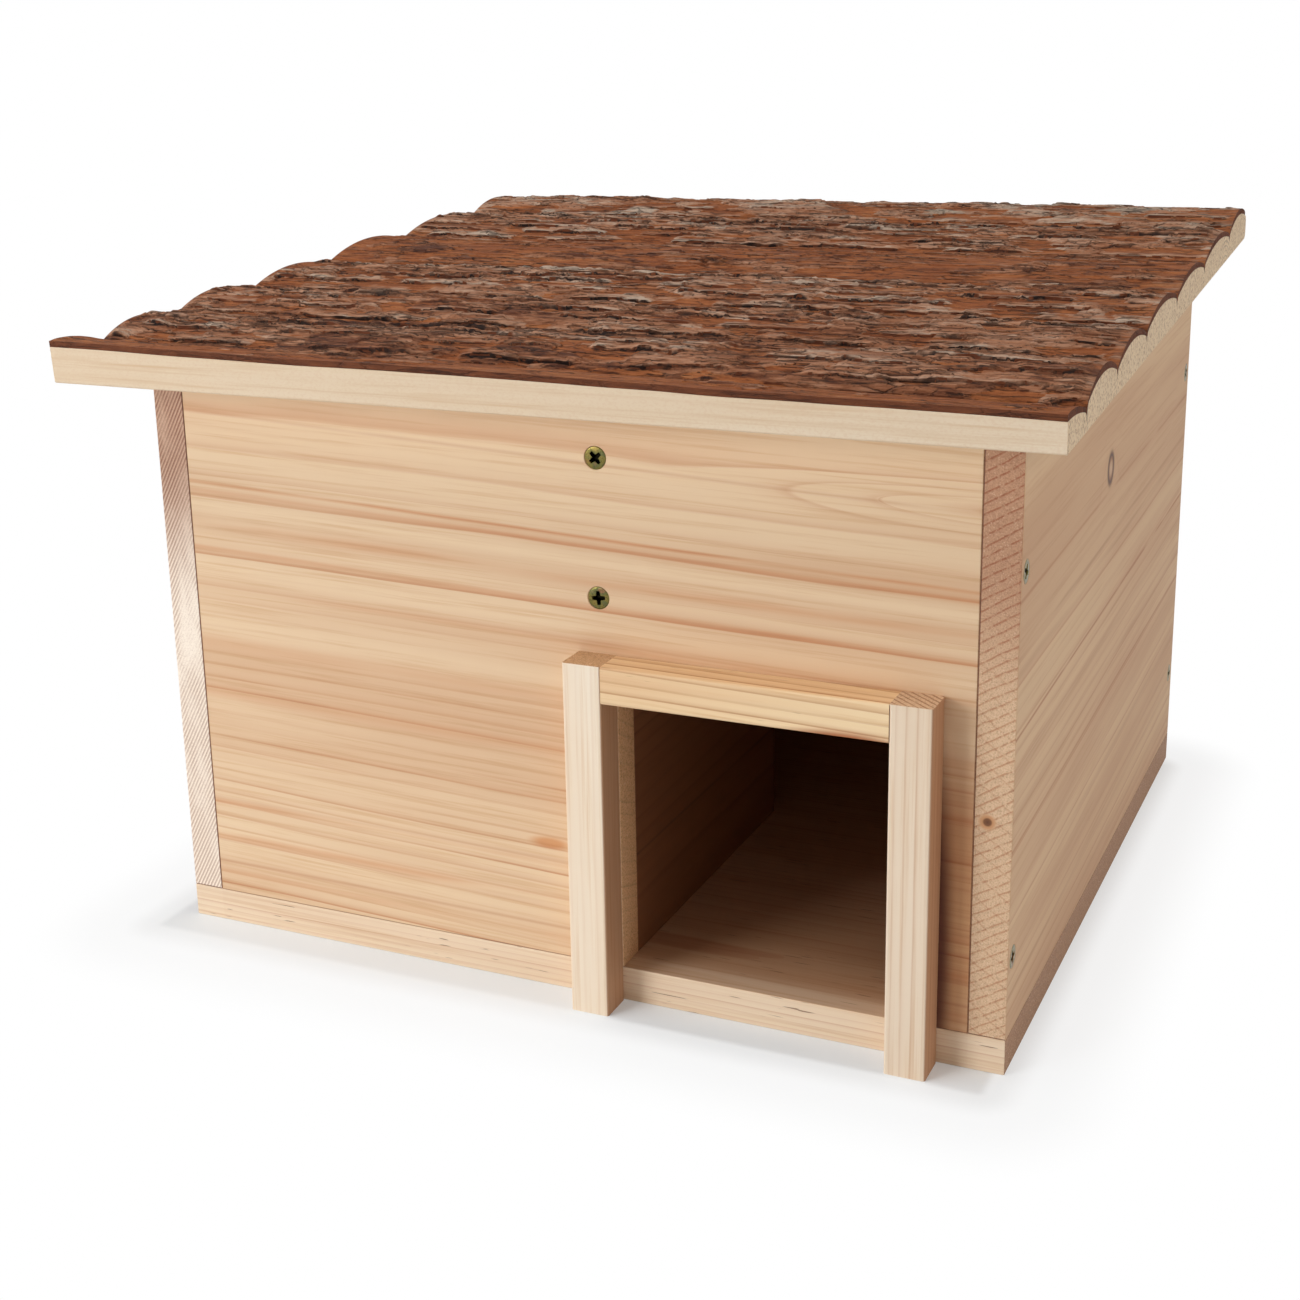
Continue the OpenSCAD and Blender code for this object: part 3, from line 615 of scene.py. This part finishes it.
def sweepRing(ring, spacing):  # ring is a list of (u, h); gives a closed bar along the roof's width
    shape = bmesh.new()
    circle = bmesh.ops.create_circle(shape, cap_ends=False, radius=1, segments=len(ring))["verts"]
    half = roof["width"] / 2
    for vert, (u, h) in zip(circle, ring):
        vert.co = onRoof(-half, u, h)
    grown = bmesh.ops.extrude_edge_only(shape, edges=shape.edges[:])["geom"]
    moved = [part for part in grown if isinstance(part, bmesh.types.BMVert)]
    bmesh.ops.translate(shape, verts=moved, vec=(roof["width"], 0, 0))
    long = [edge for edge in shape.edges if abs(edge.verts[0].co.x - edge.verts[1].co.x) > half]
    bmesh.ops.subdivide_edges(shape, edges=long, cuts=int(roof["width"] / spacing), use_grid_fill=True)
    rims = [edge for edge in shape.edges if edge.is_boundary]
    for side in (-1, 1):
        rim = [edge for edge in rims if edge.verts[0].co.x * side > 0]
        bmesh.ops.triangle_fill(shape, edges=rim, use_beauty=True, use_dissolve=False, normal=(side, 0, 0))
    bmesh.ops.recalc_face_normals(shape, faces=shape.faces)
    return shape


# Bark: rows of plates where the solid bark has them, with frayed edges and painted shade on their front edges and in
# the hollows under them, then slim shingles, loose flakes and a fine grain. Heights of the relief are in millimetres
barkCoat = {
    "spacing": 0.55 * mm, "spacingBelow": 2.5 * mm, "along": 0.85 * mm, "clear": 0.03 * mm, "base": -0.4,
    "least": 0.25, "lean": 0.6, "flake": 0.55, "sawn": 0.25, "plateWide": 8, "plateApart": 62, "plateStart": -184,
    "plateHigh": 1.4, "endReach": 3 * mm, "sideReach": 5 * mm, "thickReach": 8 * mm, "rimReach": 4 * mm,
    "sideShade": 0.42,
}
barkLooks = [
    {"seed": 1.3, "plates": 0, "slimWide": 2.4, "cover": -0.1, "fine": 0.3, "flaky": -0.9, "tone": 0.34},
    {"seed": 12.7, "plates": 1, "slimWide": 2.3, "cover": 0.12, "fine": 0.65, "flaky": 0.35, "tone": 0.46},
    {"seed": 23.1, "plates": 1, "slimWide": 2.7, "cover": 0.06, "fine": 0.6, "flaky": -0.05, "tone": 0.52},
    {"seed": 34.9, "plates": 1, "slimWide": 2.9, "cover": 0.06, "fine": 0.6, "flaky": -0.15, "tone": 0.64,
     "ridge": (-95, 75)},
    {"seed": 45.2, "plates": 0.5, "slimWide": 2.8, "cover": -0.04, "fine": 0.42, "flaky": -0.6, "tone": 0.28,
     "knot": (-5, 15, 9)},
    {"seed": 56.6, "plates": 1, "slimWide": 2.7, "cover": 0.04, "fine": 0.6, "flaky": -0.1, "tone": 0.58},
    {"seed": 67.4, "plates": 0.7, "slimWide": 3.0, "cover": -0.02, "fine": 0.45, "flaky": 0.1, "tone": 0.70},
]


def plateEdge(index, row, rows, x, u):  # how far the front edge of a plate stands up here, 0 to 1, and its number
    look = barkLooks[index]
    if not look["plates"] or row < 0 or row >= rows:
        return 0.0, 0
    seed = look["seed"]
    frayed = x + 3.0 * noise((x / 13, row * 2.7, seed)) + 1.6 * noise((x / 4, u / 1.5, seed + 3))
    place = (frayed - barkCoat["plateStart"]) / barkCoat["plateApart"] - (3 * index + 5 * row) % 7 / 7 + 1
    number = math.floor(place)
    along = (place - number) * barkCoat["plateApart"]
    run = barkCoat["plateApart"] * (0.66 + 0.14 * ((index + 3 * row + 2 * number) % 3))
    tall = look["plates"] * (0.7 + 0.1 * ((2 * index + row + 3 * number) % 4))
    uneven = 0.85 + 0.4 * noise((x / 8, row * 1.3, seed + 17))
    return smooth(min(along, run - along) / 5) * tall * uneven, number


def plates(index, x, u, wide):  # x along the slab and u across it, in millimetres
    seed = barkLooks[index]["seed"]
    shoulder = roof["shoulder"] / mm
    rows = max(1, math.floor((wide - 2 * shoulder) / barkCoat["plateWide"] + 0.001))
    pitch = (wide - 2 * shoulder) / rows
    bend = (0.13 * noise((x / 38, u / 30, seed)) + 0.12 * noise((x / 11, u / 9, seed + 7))
            + 0.05 * noise((x / 3, u / 3, seed + 13)))
    phase = (u - shoulder) / pitch + bend
    row = math.floor(phase)
    share = phase - row
    here, number = plateEdge(index, row, rows, x, u)
    behind, other = plateEdge(index, row + 1, rows, x, u)
    edge = here * (1 - smooth(share * pitch / 0.8))
    rim = here * smooth(share * pitch / 0.9) * (1 - smooth((share * pitch - 1.0) / 1.6))
    hollow = behind * (1 - smooth((1 - share) * pitch / 1.1))
    return here * (1 - share) ** 1.2, edge, rim, hollow, row + 0.37 * number


def slimEdge(x, row, seed, cover):
    rough = noise((x / 30 + row * 3.7, row * 1.9, seed + 20)) + 0.4 * noise((x / 6, row * 2.3, seed + 31))
    return smooth((rough + cover) / 0.2)


def slimShingles(x, u, wide, seed, cover):
    bend = (2.0 * noise((x / 80, u / 50, seed)) + 0.75 * noise((x / 20, u / 14, seed + 7))
            + 0.3 * noise((x / 5.5, u / 5, seed + 13)))
    phase = u / wide + bend
    row = math.floor(phase)
    share = phase - row
    here = slimEdge(x, row, seed, cover)
    behind = slimEdge(x, row + 1, seed, cover)
    edge = here * (1 - smooth(share * wide / 0.7))
    hollow = behind * (1 - smooth((1 - share) * wide / 0.8))
    return here * (1 - share) ** 1.3, edge, hollow


def flakes(x, u, look):  # steps of loose flakes: their height, their edge, which leans forward and gets painted shade, and the painted shade at their foot
    seed = look["seed"]
    warpX = x + 6 * noise((x / 11, u / 5, seed))
    warpU = u + 1.8 * noise((x / 8, u / 3.6, seed + 9))
    loose = 1.6 * noise((warpX / 19, warpU / 6.5, seed + 70)) + 0.5 * noise((warpX / 7, warpU / 3, seed + 80))
    level = max(loose + look["flaky"] + 0.9 * noise((x / 60, u / 26, seed + 40)), 0.0) * 2.5
    if level <= 0:
        return 0.0, 0.0, 0.0
    step = math.floor(level)
    share = level - step
    rim = 1 - smooth(share / 0.16)
    return min(step + smooth(share / 0.12), 2.0), rim, smooth((share - 0.84) / 0.16)


def barkRelief(index, x, u, wide):
    look = barkLooks[index]
    seed = look["seed"]
    plate, edge, rim, hollow, number = plates(index, x, u, wide)
    slim, slimFront, slimHollow = slimShingles(x, u, look["slimWide"], seed + 60, look["cover"])
    flake, flakeRim, foot = flakes(x, u, look)
    fine = noise((x / 9, u / 1.6, seed + 100)) + 0.5 * noise((x / 3, u / 0.8, seed + 101))
    broad = noise((x / 60, u / 26, seed + 110))
    lift = (barkCoat["base"] + barkCoat["plateHigh"] * plate + look["fine"] * slim + barkCoat["flake"] * flake
            + 0.2 * fine + 0.15 * broad)
    # painted shade on the front edges of plates, shingles and flakes and in the hollows under them
    paintedShade = max(1.1 * edge, 1.25 * hollow, 1.2 * look["fine"] * slimFront, 1.4 * look["fine"] * slimHollow,
                 0.8 * foot, 0.45 * flakeRim)
    tone = look["tone"] + 0.4 * noise((number * 5.3, number * 3.1, seed + 120)) + 0.35 * rim
    tone += 0.35 * noise((x / 26, u / 7, seed + 130))
    if "knot" in look:
        knotX, knotU, size = look["knot"]
        away = math.hypot((x - knotX) / 1.6, u - knotU) / size + 0.35 * noise((x / 4, u / 3, seed + 140))
        near = 1 - smooth((away - 0.25) / 0.75)
        lift += near * (0.9 * math.sin(away * 14) - 0.2)
        paintedShade = max(paintedShade, near * (0.6 + 0.5 * noise((x / 3, u / 2, seed + 150))))
        tone -= 0.3 * near
    if "ridge" in look:
        start, end = look["ridge"]
        inside = smooth((x - start) / 12) * smooth((end - x) / 12)
        across = (u - wide + 7 - 1.2 * noise((x / 30, 3.1, seed))) / 1.3
        ridge = inside * math.exp(-across * across)
        lift += 1.1 * ridge
        tone += 0.8 * ridge
        paintedShade = max(paintedShade * (1 - ridge), 0.9 * inside * math.exp(-(across + 2.2) ** 2))
    height = smooth((lift + 0.8) / 2.0)
    return lift, max(edge, 0.6 * flakeRim * min(flake, 1.0)), min(paintedShade, 1.0), height, tone


def barkRing(index):  # the bark's outline above as (u, h, way along it), and the one below as (u, h)
    first, last = (edge * mm for edge in roof["edges"][index])
    wide = last - first
    gap, bare = 0.1 * mm, roof["bare"]
    if index == 0:  # sawn upright in front: the back half of a slab twice as wide
        whole, above, below, start = 2 * wide, (wide, 2 * wide), (wide, 2 * wide - gap), -wide
    elif index == len(roof["edges"]) - 1:  # bare wood at the back
        whole, above, below, start = wide, (0, wide - bare), (gap, wide - bare), first
    else:
        whole, above, below, start = wide, (0, wide), (gap, wide - gap), first
    outer = outline(*above, whole, roof["bark"], roof["barkEdge"], barkCoat["spacing"])
    inner = outline(*below, whole, 0, 0, barkCoat["spacingBelow"])
    outer = [(point.x + start, point.y, run) for point, run in outer]
    if index == 1:  # the first slab sinks away from this one at the right, and the bark hangs down there
        outer.insert(0, (start - 0.02 * mm, 2.4 * mm, 0.0))
    return outer, [(point.x + start, point.y) for point, run in inner]


def placeKey(spot):
    return round(spot.y, 6), round(spot.z, 6)


def addBark(index, material):
    outer, inner = barkRing(index)
    ring = [(u, h) for u, h, run in outer] + [(u, h + barkCoat["clear"]) for u, h in reversed(inner)]
    shape = sweepRing(ring, barkCoat["along"])
    whole = outer[-1][2]
    known = {}
    for number, (u, h, run) in enumerate(outer):
        before, after = outer[max(number - 1, 0)], outer[min(number + 1, len(outer) - 1)]
        along = (roofBack * (after[0] - before[0]) + roofUp * (after[1] - before[1])).normalized()
        up = Vector((1, 0, 0)).cross(along)
        known[placeKey(onRoof(0, u, h))] = (run, up, along, u)
    paintedShadeLayer, plateLayer, toneLayer = (
        shape.verts.layers.float.new(name) for name in ("paintedShade", "plate", "tone"))
    first, last = roof["edges"][index]
    wide = last - first
    for vert in shape.verts:
        x = vert.co.x
        shift = roofUp * riseAt(index, x)
        if index == 0:
            shift = shift + roofUp * wave(x)
        found = known.get(placeKey(vert.co))
        if found:
            run, up, along, u = found
            lift, lean, paintedShade, plate, tone = barkRelief(index, x / mm, u / mm - first, wide)
            fromEnd = min(run, whole - run) if index else whole - run
            ends = smooth(fromEnd / barkCoat["endReach"])
            fromSide = roof["width"] / 2 - abs(x)
            calm = smooth(fromSide / barkCoat["sideReach"])
            thick = roof["barkEdge"] + (roof["bark"] - roof["barkEdge"]) * smooth(fromEnd / barkCoat["thickReach"])
            lift = barkCoat["sawn"] + (lift - barkCoat["sawn"]) * calm
            lift = max(lift * ends + 0.05 * (1 - ends), barkCoat["least"] - thick / mm)
            if index == 0:
                lift *= smooth(run / barkCoat["rimReach"])
            shift = shift + up * (lift * mm) - along * (barkCoat["lean"] * lean * mm * ends * calm)
            # painted shade from the relief, more towards the joints between slabs and near the sawn sides
            shade = barkCoat["sideShade"] * (1 - smooth(fromSide / barkCoat["rimReach"]))
            vert[paintedShadeLayer] = max(paintedShade * calm, 0.9 * calm * (1 - smooth(ends * 1.3)), shade)
            vert[plateLayer] = plate
            vert[toneLayer] = tone
        vert.co = vert.co + shift
    number = str(index + 1)
    newPiece("bark_" + number, shape, material, "roof", ["roof_bark_" + number], math.radians(60))


def barkMaterial():
    material, tree, shader = newMaterial("pine bark")
    spot = make(tree, "TexCoord").outputs
    here, facing = spot["Object"], axes(tree, spot["Normal"])
    paintedShade, plate, tone = (attribute(tree, name) for name in ("paintedShade", "plate", "tone"))
    grain = noiseAt(tree, here, (90, 640, 640), 5.0, 0.65)
    flecks = noiseAt(tree, here, (420, 1300, 1300), 3.0, 0.65)
    patches = noiseAt(tree, here, (14, 48, 48), 4.0, 0.6)
    splits = noiseAt(tree, here, (28, 330, 330), 3.0, 0.55, 0.4)
    fibres = noiseAt(tree, here, (30, 900, 900), 4.0, 0.7)

    # scales, with painted shade in the gaps round some of them
    swirl = wander(tree, here, (120, 400, 400), (7 * mm, 2.0 * mm, 2.0 * mm), 3.0, 0.6)
    scaleSpot = {"Vector": mapped(tree, vectorCalc(tree, "ADD", here, swirl), Scale=(72, 290, 290)), "Scale": 1.0}
    scaleTone = axes(tree, make(tree, "TexVoronoi", scaleSpot, feature="F1").outputs["Color"])["X"]
    gaps = make(tree, "TexVoronoi", scaleSpot, feature="DISTANCE_TO_EDGE").outputs["Distance"]
    gapParts = fade(tree, noiseAt(tree, here, (36, 90, 90), 3.0, 0.6), 0.45, 0.6)
    gapShade = times(tree, fade(tree, gaps, 0.07, 0.0), gapParts)

    # greyer outer bark on the plates, with lichen at the back right, and redder bark between them
    outerTone = timesPlus(tree, tone, 0.7, timesPlus(tree, grain, 1.1, -0.6))
    outerTone = timesPlus(tree, scaleTone, 0.35, outerTone)
    outer = ramp(tree, outerTone, [
        (0.1, 92, 50, 30), (0.3, 140, 88, 59), (0.5, 171, 119, 88), (0.7, 188, 144, 117), (0.95, 200, 177, 157)])
    place = axes(tree, here)
    lichen = fade(tree, noiseAt(tree, here, (30, 90, 90), 4.0, 0.7), 0.5, 0.62)
    lichen = times(tree, lichen, fade(tree, place["X"], -0.02, 0.06))
    lichen = times(tree, lichen, fade(tree, place["Y"], 0.09, 0.13))
    outer = mixed(tree, times(tree, lichen, 0.7), outer, tint(178, 168, 152))
    innerTone = timesPlus(tree, patches, 0.7, timesPlus(tree, grain, 1.0, -0.35))
    inner = ramp(tree, innerTone, [(0.2, 84, 42, 20), (0.4, 138, 76, 40), (0.6, 168, 101, 58), (0.85, 190, 134, 90)])
    onPlate = timesPlus(tree, calc(tree, "SUBTRACT", patches, 0.5), 0.8, plate)
    colour = mixed(tree, fade(tree, onPlate, 0.25, 0.5), inner, outer)

    # flecks, fibres, cracks, and painted shade in the hollows and gaps
    crackParts = fade(tree, noiseAt(tree, here, (24, 120, 120)), 0.45, 0.6)
    cracks = fade(tree, calc(tree, "ABSOLUTE", calc(tree, "SUBTRACT", splits, 0.5)), 0.022, 0.004)
    cracks = times(tree, cracks, times(tree, crackParts, 0.85))
    # cracks, and painted shade in the hollows and gaps
    cracksAndShade = calc(tree, "MAXIMUM", fade(tree, paintedShade, 0.28, 0.95), cracks)
    cracksAndShade = calc(tree, "MAXIMUM", cracksAndShade, times(tree, gapShade, 0.55))
    colour = mixed(tree, fade(tree, flecks, 0.55, 0.75), colour, grey(0.45), "MULTIPLY")
    colour = mixed(tree, fade(tree, fibres, 0.52, 0.7), colour, grey(0.4), "MULTIPLY")
    colour = mixed(tree, cracksAndShade, colour, tint(34, 18, 11))

    # sawn faces at the sides and in front
    sawnSide = fade(tree, calc(tree, "ABSOLUTE", facing["X"]), 0.93, 0.99)
    sawnFront = fade(tree, times(tree, facing["Y"], -1), 0.985, 0.995)
    cut = ramp(tree, grain, [(0.3, 88, 46, 27), (0.6, 116, 64, 37), (0.8, 140, 84, 52)])
    colour = mixed(tree, calc(tree, "ADD", sawnSide, sawnFront, clamp=True), colour, cut)

    height = calc(tree, "ADD", grain, times(tree, flecks, 0.5))
    height = calc(tree, "ADD", height, times(tree, scaleTone, 0.7))
    height = calc(tree, "SUBTRACT", height, calc(tree, "ADD", cracks, times(tree, gapShade, 0.6)))
    fill(tree, shader, {
        "Base Color": colour, "Roughness": 0.85, "Specular IOR Level": 0.3,
        "Normal": bumped(tree, height, 1.0, 1.1 * mm)})
    return material


bark = barkMaterial()
for index in range(len(barkLooks)):
    addBark(index, bark)
print("bark done")

slabWood = {
    "grain": "X", "ring": 2.0 * mm, "wander": 3 * mm, "pith": (-0.12, 0.20), "pale": tint(232, 213, 188),
    "warm": tint(226, 203, 174), "late": tint(216, 182, 148), "lateHigh": 0.35, "specks": 0.28,
    "endLow": tint(255, 232, 198), "endHigh": tint(255, 232, 198), "endRough": 0.75, "endRings": 5.0, "endPits": 850,
    "seed": 71.0, "roughness": 0.7, "roomShadeShare": 0.0,
}


def addFrontSlab(material):
    wide = roof["edges"][0][1] * mm
    top = outline(wide, 2 * wide, 2 * wide, 0, 0, 1.5 * mm)
    crown = [(point.x - wide, point.y) for point, run in top]
    ring = crown + [(wide, 0.4 * mm), (wide - 0.4 * mm, 0.0), (0.5 * mm, 0.0), (0.0, 0.5 * mm)]
    shape = sweepRing(ring, 2 * mm)
    for vert in shape.verts:
        if (vert.co - roofCorner).dot(roofUp) > 1 * mm:
            vert.co = vert.co + roofUp * (riseAt(0, vert.co.x) + wave(vert.co.x))
    newPiece("front_slab", shape, material, "roof", ["roof_slab_1"], math.radians(30))


addFrontSlab(woodMaterial("front slab wood", slabWood))
for index in range(1, len(roof["edges"])):
    pith = (-0.155 + index * 0.055, 0.245 - 0.01 * (index % 3))
    look = {**slabWood, "pith": pith, "seed": slabWood["seed"] + 5 * index}
    number = str(index + 1)
    dress("roof_slab_" + number, woodMaterial("slab wood " + number, look))
print("slabs done")


# Screws: countersunk heads with a cross recess, on plain shafts. The recess is in shares of the head
screws = {"steps": 32, "recessLong": 0.3, "recessWide": 0.075, "recessThroat": 0.1, "recessDeep": 0.96,
          "recessTaper": 0.55, "recessTop": -0.03 * mm}


def addScrew(shape, place, outward, length, shaft, head, turn):
    part = bmesh.new()
    recess = part.verts.layers.float.new("recess")
    rim = head / 2
    cone = (head - shaft) / 2
    profile = [(rim * 0.84, 0), (rim * 0.93, -0.08 * mm), (rim * 0.985, -0.26 * mm), (rim, -0.45 * mm),
               (shaft / 2 + 0.1 * mm, -cone + 0.1 * mm),
               (shaft / 2, -cone - 0.3 * mm), (shaft / 2, shaft - length), (0.25 * mm, -length)]
    verts = [part.verts.new((x, 0, z)) for x, z in profile]
    edges = [part.edges.new(pair) for pair in zip(verts, verts[1:])]
    bmesh.ops.spin(part, geom=verts + edges, cent=(0, 0, 0), axis=(0, 0, 1), angle=2 * math.pi, steps=screws["steps"],
                   use_merge=True, use_duplicate=False)
    bmesh.ops.remove_doubles(part, verts=part.verts, dist=mergeDistance)
    circle = [e for e in part.edges if e.is_boundary and e.verts[0].co.z > -0.01 * mm]
    tip = [e for e in part.edges if e.is_boundary and e.verts[0].co.z < -0.5 * length]
    bmesh.ops.holes_fill(part, edges=tip, sides=0)
    long, wide, throat = (screws[key] * head for key in ("recessLong", "recessWide", "recessThroat"))
    corners = []
    for quarter in range(4):
        swing = Matrix.Rotation(quarter * math.pi / 2 + turn, 3, "Z")
        for x, y in ((long, -wide), (long, wide), (throat, throat)):
            corners.append(part.verts.new(swing @ Vector((x, y, screws["recessTop"]))))
    loop = [part.edges.new(pair) for pair in zip(corners, corners[1:] + corners[:1])]
    bmesh.ops.bridge_loops(part, edges=circle + loop)
    deep = bmesh.ops.extrude_edge_only(part, edges=loop)["geom"]
    low = [piece for piece in deep if isinstance(piece, bmesh.types.BMVert)]
    floor = [piece for piece in deep if isinstance(piece, bmesh.types.BMEdge)]
    bmesh.ops.translate(part, verts=low, vec=(0, 0, -screws["recessDeep"] * cone))
    bmesh.ops.scale(part, verts=low, vec=(screws["recessTaper"], screws["recessTaper"], 1))
    # the floor of the recess is marked for painted shade
    for vert in low:
        vert[recess] = 1.0
    bmesh.ops.holes_fill(part, edges=floor, sides=0)
    bmesh.ops.recalc_face_normals(part, faces=part.faces)
    aim = outward.to_track_quat("Z", "Y").to_matrix().to_4x4()
    bmesh.ops.transform(part, matrix=Matrix.Translation(place) @ aim, verts=part.verts)
    made = bpy.data.meshes.new("screw")
    part.to_mesh(made)
    part.free()
    shape.from_mesh(made)
    bpy.data.meshes.remove(made)


def screwPlaces(nodeName, outward):  # middles of the heads, found on the CAD screws
    shape = bmesh.new()
    shape.from_mesh(nodes[nodeName].data)
    bmesh.ops.remove_doubles(shape, verts=shape.verts, dist=mergeDistance)
    left, places = set(shape.verts), []
    while left:
        island, edge = set(), [left.pop()]
        while edge:
            vert = edge.pop()
            island.add(vert)
            for link in vert.link_edges:
                other = link.other_vert(vert)
                if other in left:
                    left.discard(other)
                    edge.append(other)
        top = max(vert.co.dot(outward) for vert in island)
        head = sorted(tuple(vert.co) for vert in island if vert.co.dot(outward) > top - 0.01 * mm)
        places.append(Vector([sum(parts) / len(head) for parts in zip(*head)]))
    shape.free()
    return sorted(places, key=lambda spot: tuple(round(part, 4) for part in spot))


def addScrews(nodeName, outward, body, material, length, shaft, head, turns=()):
    outward = Vector(outward).normalized()
    spin = random.Random(nodeName)
    shape = bmesh.new()
    for number, place in enumerate(screwPlaces(nodeName, outward)):
        turn = turns[number] if number < len(turns) else spin.uniform(0, math.pi / 2)
        addScrew(shape, place, outward, length, shaft, head, turn)
    newPiece(nodeName + "_cross_heads", shape, material, body, [nodeName], math.radians(40))


def zincMaterial():
    material, tree, shader = newMaterial("yellow zinc")
    spot = make(tree, "TexCoord").outputs["Object"]
    film = noiseAt(tree, spot, (210, 210, 210), 2.0, 0.5, 0.6)
    dirt = noiseAt(tree, spot, (1500, 1500, 1500), 3.0, 0.6)
    colour = ramp(tree, film, [
        (0.3, 128, 90, 62), (0.42, 130, 110, 62), (0.52, 114, 104, 56), (0.6, 92, 94, 60), (0.72, 134, 96, 72)])
    colour = mixed(tree, fade(tree, dirt, 0.48, 0.72), colour, tint(66, 60, 36))
    # painted shade in the cross recess
    colour = mixed(tree, fade(tree, attribute(tree, "recess"), 0.0, 0.35), colour, tint(22, 20, 12))
    fill(tree, shader, {
        "Base Color": colour, "Metallic": 1.0, "Roughness": timesPlus(tree, dirt, 0.3, 0.18),
        "Normal": bumped(tree, dirt, 0.25, 0.1 * mm)})
    return material


zinc = zincMaterial()
boxScrew = (35 * mm, 4 * mm, 8.4 * mm)  # length, shaft and head
frameScrew = (21 * mm, 3 * mm, 6 * mm)
battenScrew = (20 * mm, 3 * mm, 6 * mm)
hingeScrew = (8 * mm, 2.2 * mm, 4 * mm)
addScrews("divider_screws", (0, -1, 0), "house", zinc, *boxScrew, turns=(0.08, 0.7))
addScrews("right_wall_screws", (1, 0, 0), "house", zinc, *boxScrew)
addScrews("left_wall_screws", (-1, 0, 0), "house", zinc, *boxScrew)
addScrews("floor_screws", (0, 0, -1), "house", zinc, *boxScrew)
addScrews("entrance_screws", (0, 1, 0), "house", zinc, *frameScrew)
addScrews("batten_screws", -roofUp, "roof", zinc, *battenScrew)
addScrews("hinge_wall_screws", (0, 1, 0), "house", zinc, *hingeScrew)
addScrews("hinge_roof_screws", -roofUp, "roof", zinc, *hingeScrew)
print("screws done")


# Hinges
def steelMaterial():
    material, tree, shader = newMaterial("hinge steel")
    spot = make(tree, "TexCoord").outputs["Object"]
    brushed = noiseAt(tree, spot, (60, 2400, 2400), 3.0, 0.6)
    cloud = noiseAt(tree, spot, (240, 240, 240), 3.0, 0.6)
    fill(tree, shader, {
        "Base Color": ramp(tree, cloud, [(0.3, 168, 170, 172), (0.7, 204, 206, 208)]), "Metallic": 1.0,
        "Roughness": timesPlus(tree, brushed, 0.25, 0.22),
        "Normal": bumped(tree, brushed, 0.3, 0.05 * mm)})
    return material


steel = steelMaterial()
for side in ("left", "right"):
    for part in ("hinge_wall_leaf_", "hinge_roof_leaf_", "hinge_pin_"):
        dress(part + side, steel)
print("hinges done")


# Floor, world and lamps. The floor's white clears towards the box, so that the shadow round it shows
studio = {
    "floorSize": 8.0, "floorTint": tint(232, 238, 243), "shadowMiddle": (-0.006, -0.005, 0.0),
    "shadowHalf": (0.165, 0.157, 0.0), "shadowReach": 0.06, "world": 0.25, "worldTint": tint(255, 253, 250),
}
clearing = [(0.0, 0.15), (0.07, 0.55), (0.3, 0.84), (0.9, 1.0)]
lamps = {
    "key": {"place": (-1.0, -1.6, 0.5), "aim": (0, 0, 0.1), "power": 15.0, "size": 0.7, "tint": tint(255, 255, 255)},
    "top": {"place": (-0.6, -0.55, 1.6), "aim": (0, 0, 0.2), "power": 12.0, "size": 0.9, "tint": tint(255, 255, 255)},
    "fill": {"place": (1.7, -0.2, 1.1), "aim": (0, 0, 0.1), "power": 7.0, "size": 1.2, "tint": tint(255, 232, 208)},
}


def seenDirectly(tree):  # 1 for the rays that see the background itself
    rays = make(tree, "LightPath").outputs
    seen = calc(tree, "ADD", rays["Is Camera Ray"], rays["Is Glossy Ray"], clamp=True)
    return calc(tree, "ADD", seen, rays["Is Transmission Ray"], clamp=True)


def addFloor():
    material, tree, shader = newMaterial("pale floor")
    fill(tree, shader, {"Base Color": studio["floorTint"], "Roughness": 0.9, "Specular IOR Level": 0.0})
    spot = make(tree, "TexCoord").outputs["Object"]
    fromMiddle = vectorCalc(tree, "ABSOLUTE", vectorCalc(tree, "SUBTRACT", spot, studio["shadowMiddle"]))
    outside = vectorCalc(tree, "SUBTRACT", fromMiddle, studio["shadowHalf"])
    away = vectorCalc(tree, "LENGTH", vectorCalc(tree, "MAXIMUM", outside, (0.0, 0.0, 0.0)))
    fading = ramp(tree, calc(tree, "DIVIDE", away, studio["shadowReach"]), clearing, "EASE")
    glow = times(tree, fading, seenDirectly(tree))
    white = make(tree, "Emission", {"Color": grey(1.0), "Strength": 1.0}).outputs[0]
    both = make(tree, "MixShader", {0: glow, 1: shader.outputs[0], 2: white})
    fill(tree, tree.nodes["Material Output"], {"Surface": both.outputs[0]})
    shape = bmesh.new()
    bmesh.ops.create_grid(shape, x_segments=8, y_segments=8, size=studio["floorSize"])
    floor = linked("floor", shape, material)


def addWorld():
    world = bpy.data.worlds.new("studio")
    world.use_nodes = True
    tree = world.node_tree
    tree.nodes.clear()
    soft = make(tree, "Background", {"Color": studio["worldTint"], "Strength": studio["world"]}).outputs[0]
    white = make(tree, "Background", {"Color": grey(1.0), "Strength": 1.0}).outputs[0]
    both = make(tree, "MixShader", {0: seenDirectly(tree), 1: soft, 2: white})
    make(tree, "OutputWorld", {"Surface": both.outputs[0]}, is_active_output=True)
    bpy.context.scene.world = world


def addLamp(name, look):
    data = bpy.data.lights.new(name, "AREA")
    data.energy = look["power"]
    data.color = look["tint"][:3]
    data.size = look["size"]
    lamp = bpy.data.objects.new(name, data)
    turn = (Vector(look["aim"]) - Vector(look["place"])).to_track_quat("-Z", "Y").to_matrix().to_4x4()
    lamp.matrix_world = Matrix.Translation(look["place"]) @ turn
    bpy.context.scene.collection.objects.link(lamp)


addFloor()
addWorld()
for lampName, lampLook in lamps.items():
    addLamp(lampName, lampLook)
bpy.context.scene.view_settings.view_transform = "Standard"
print("studio done")
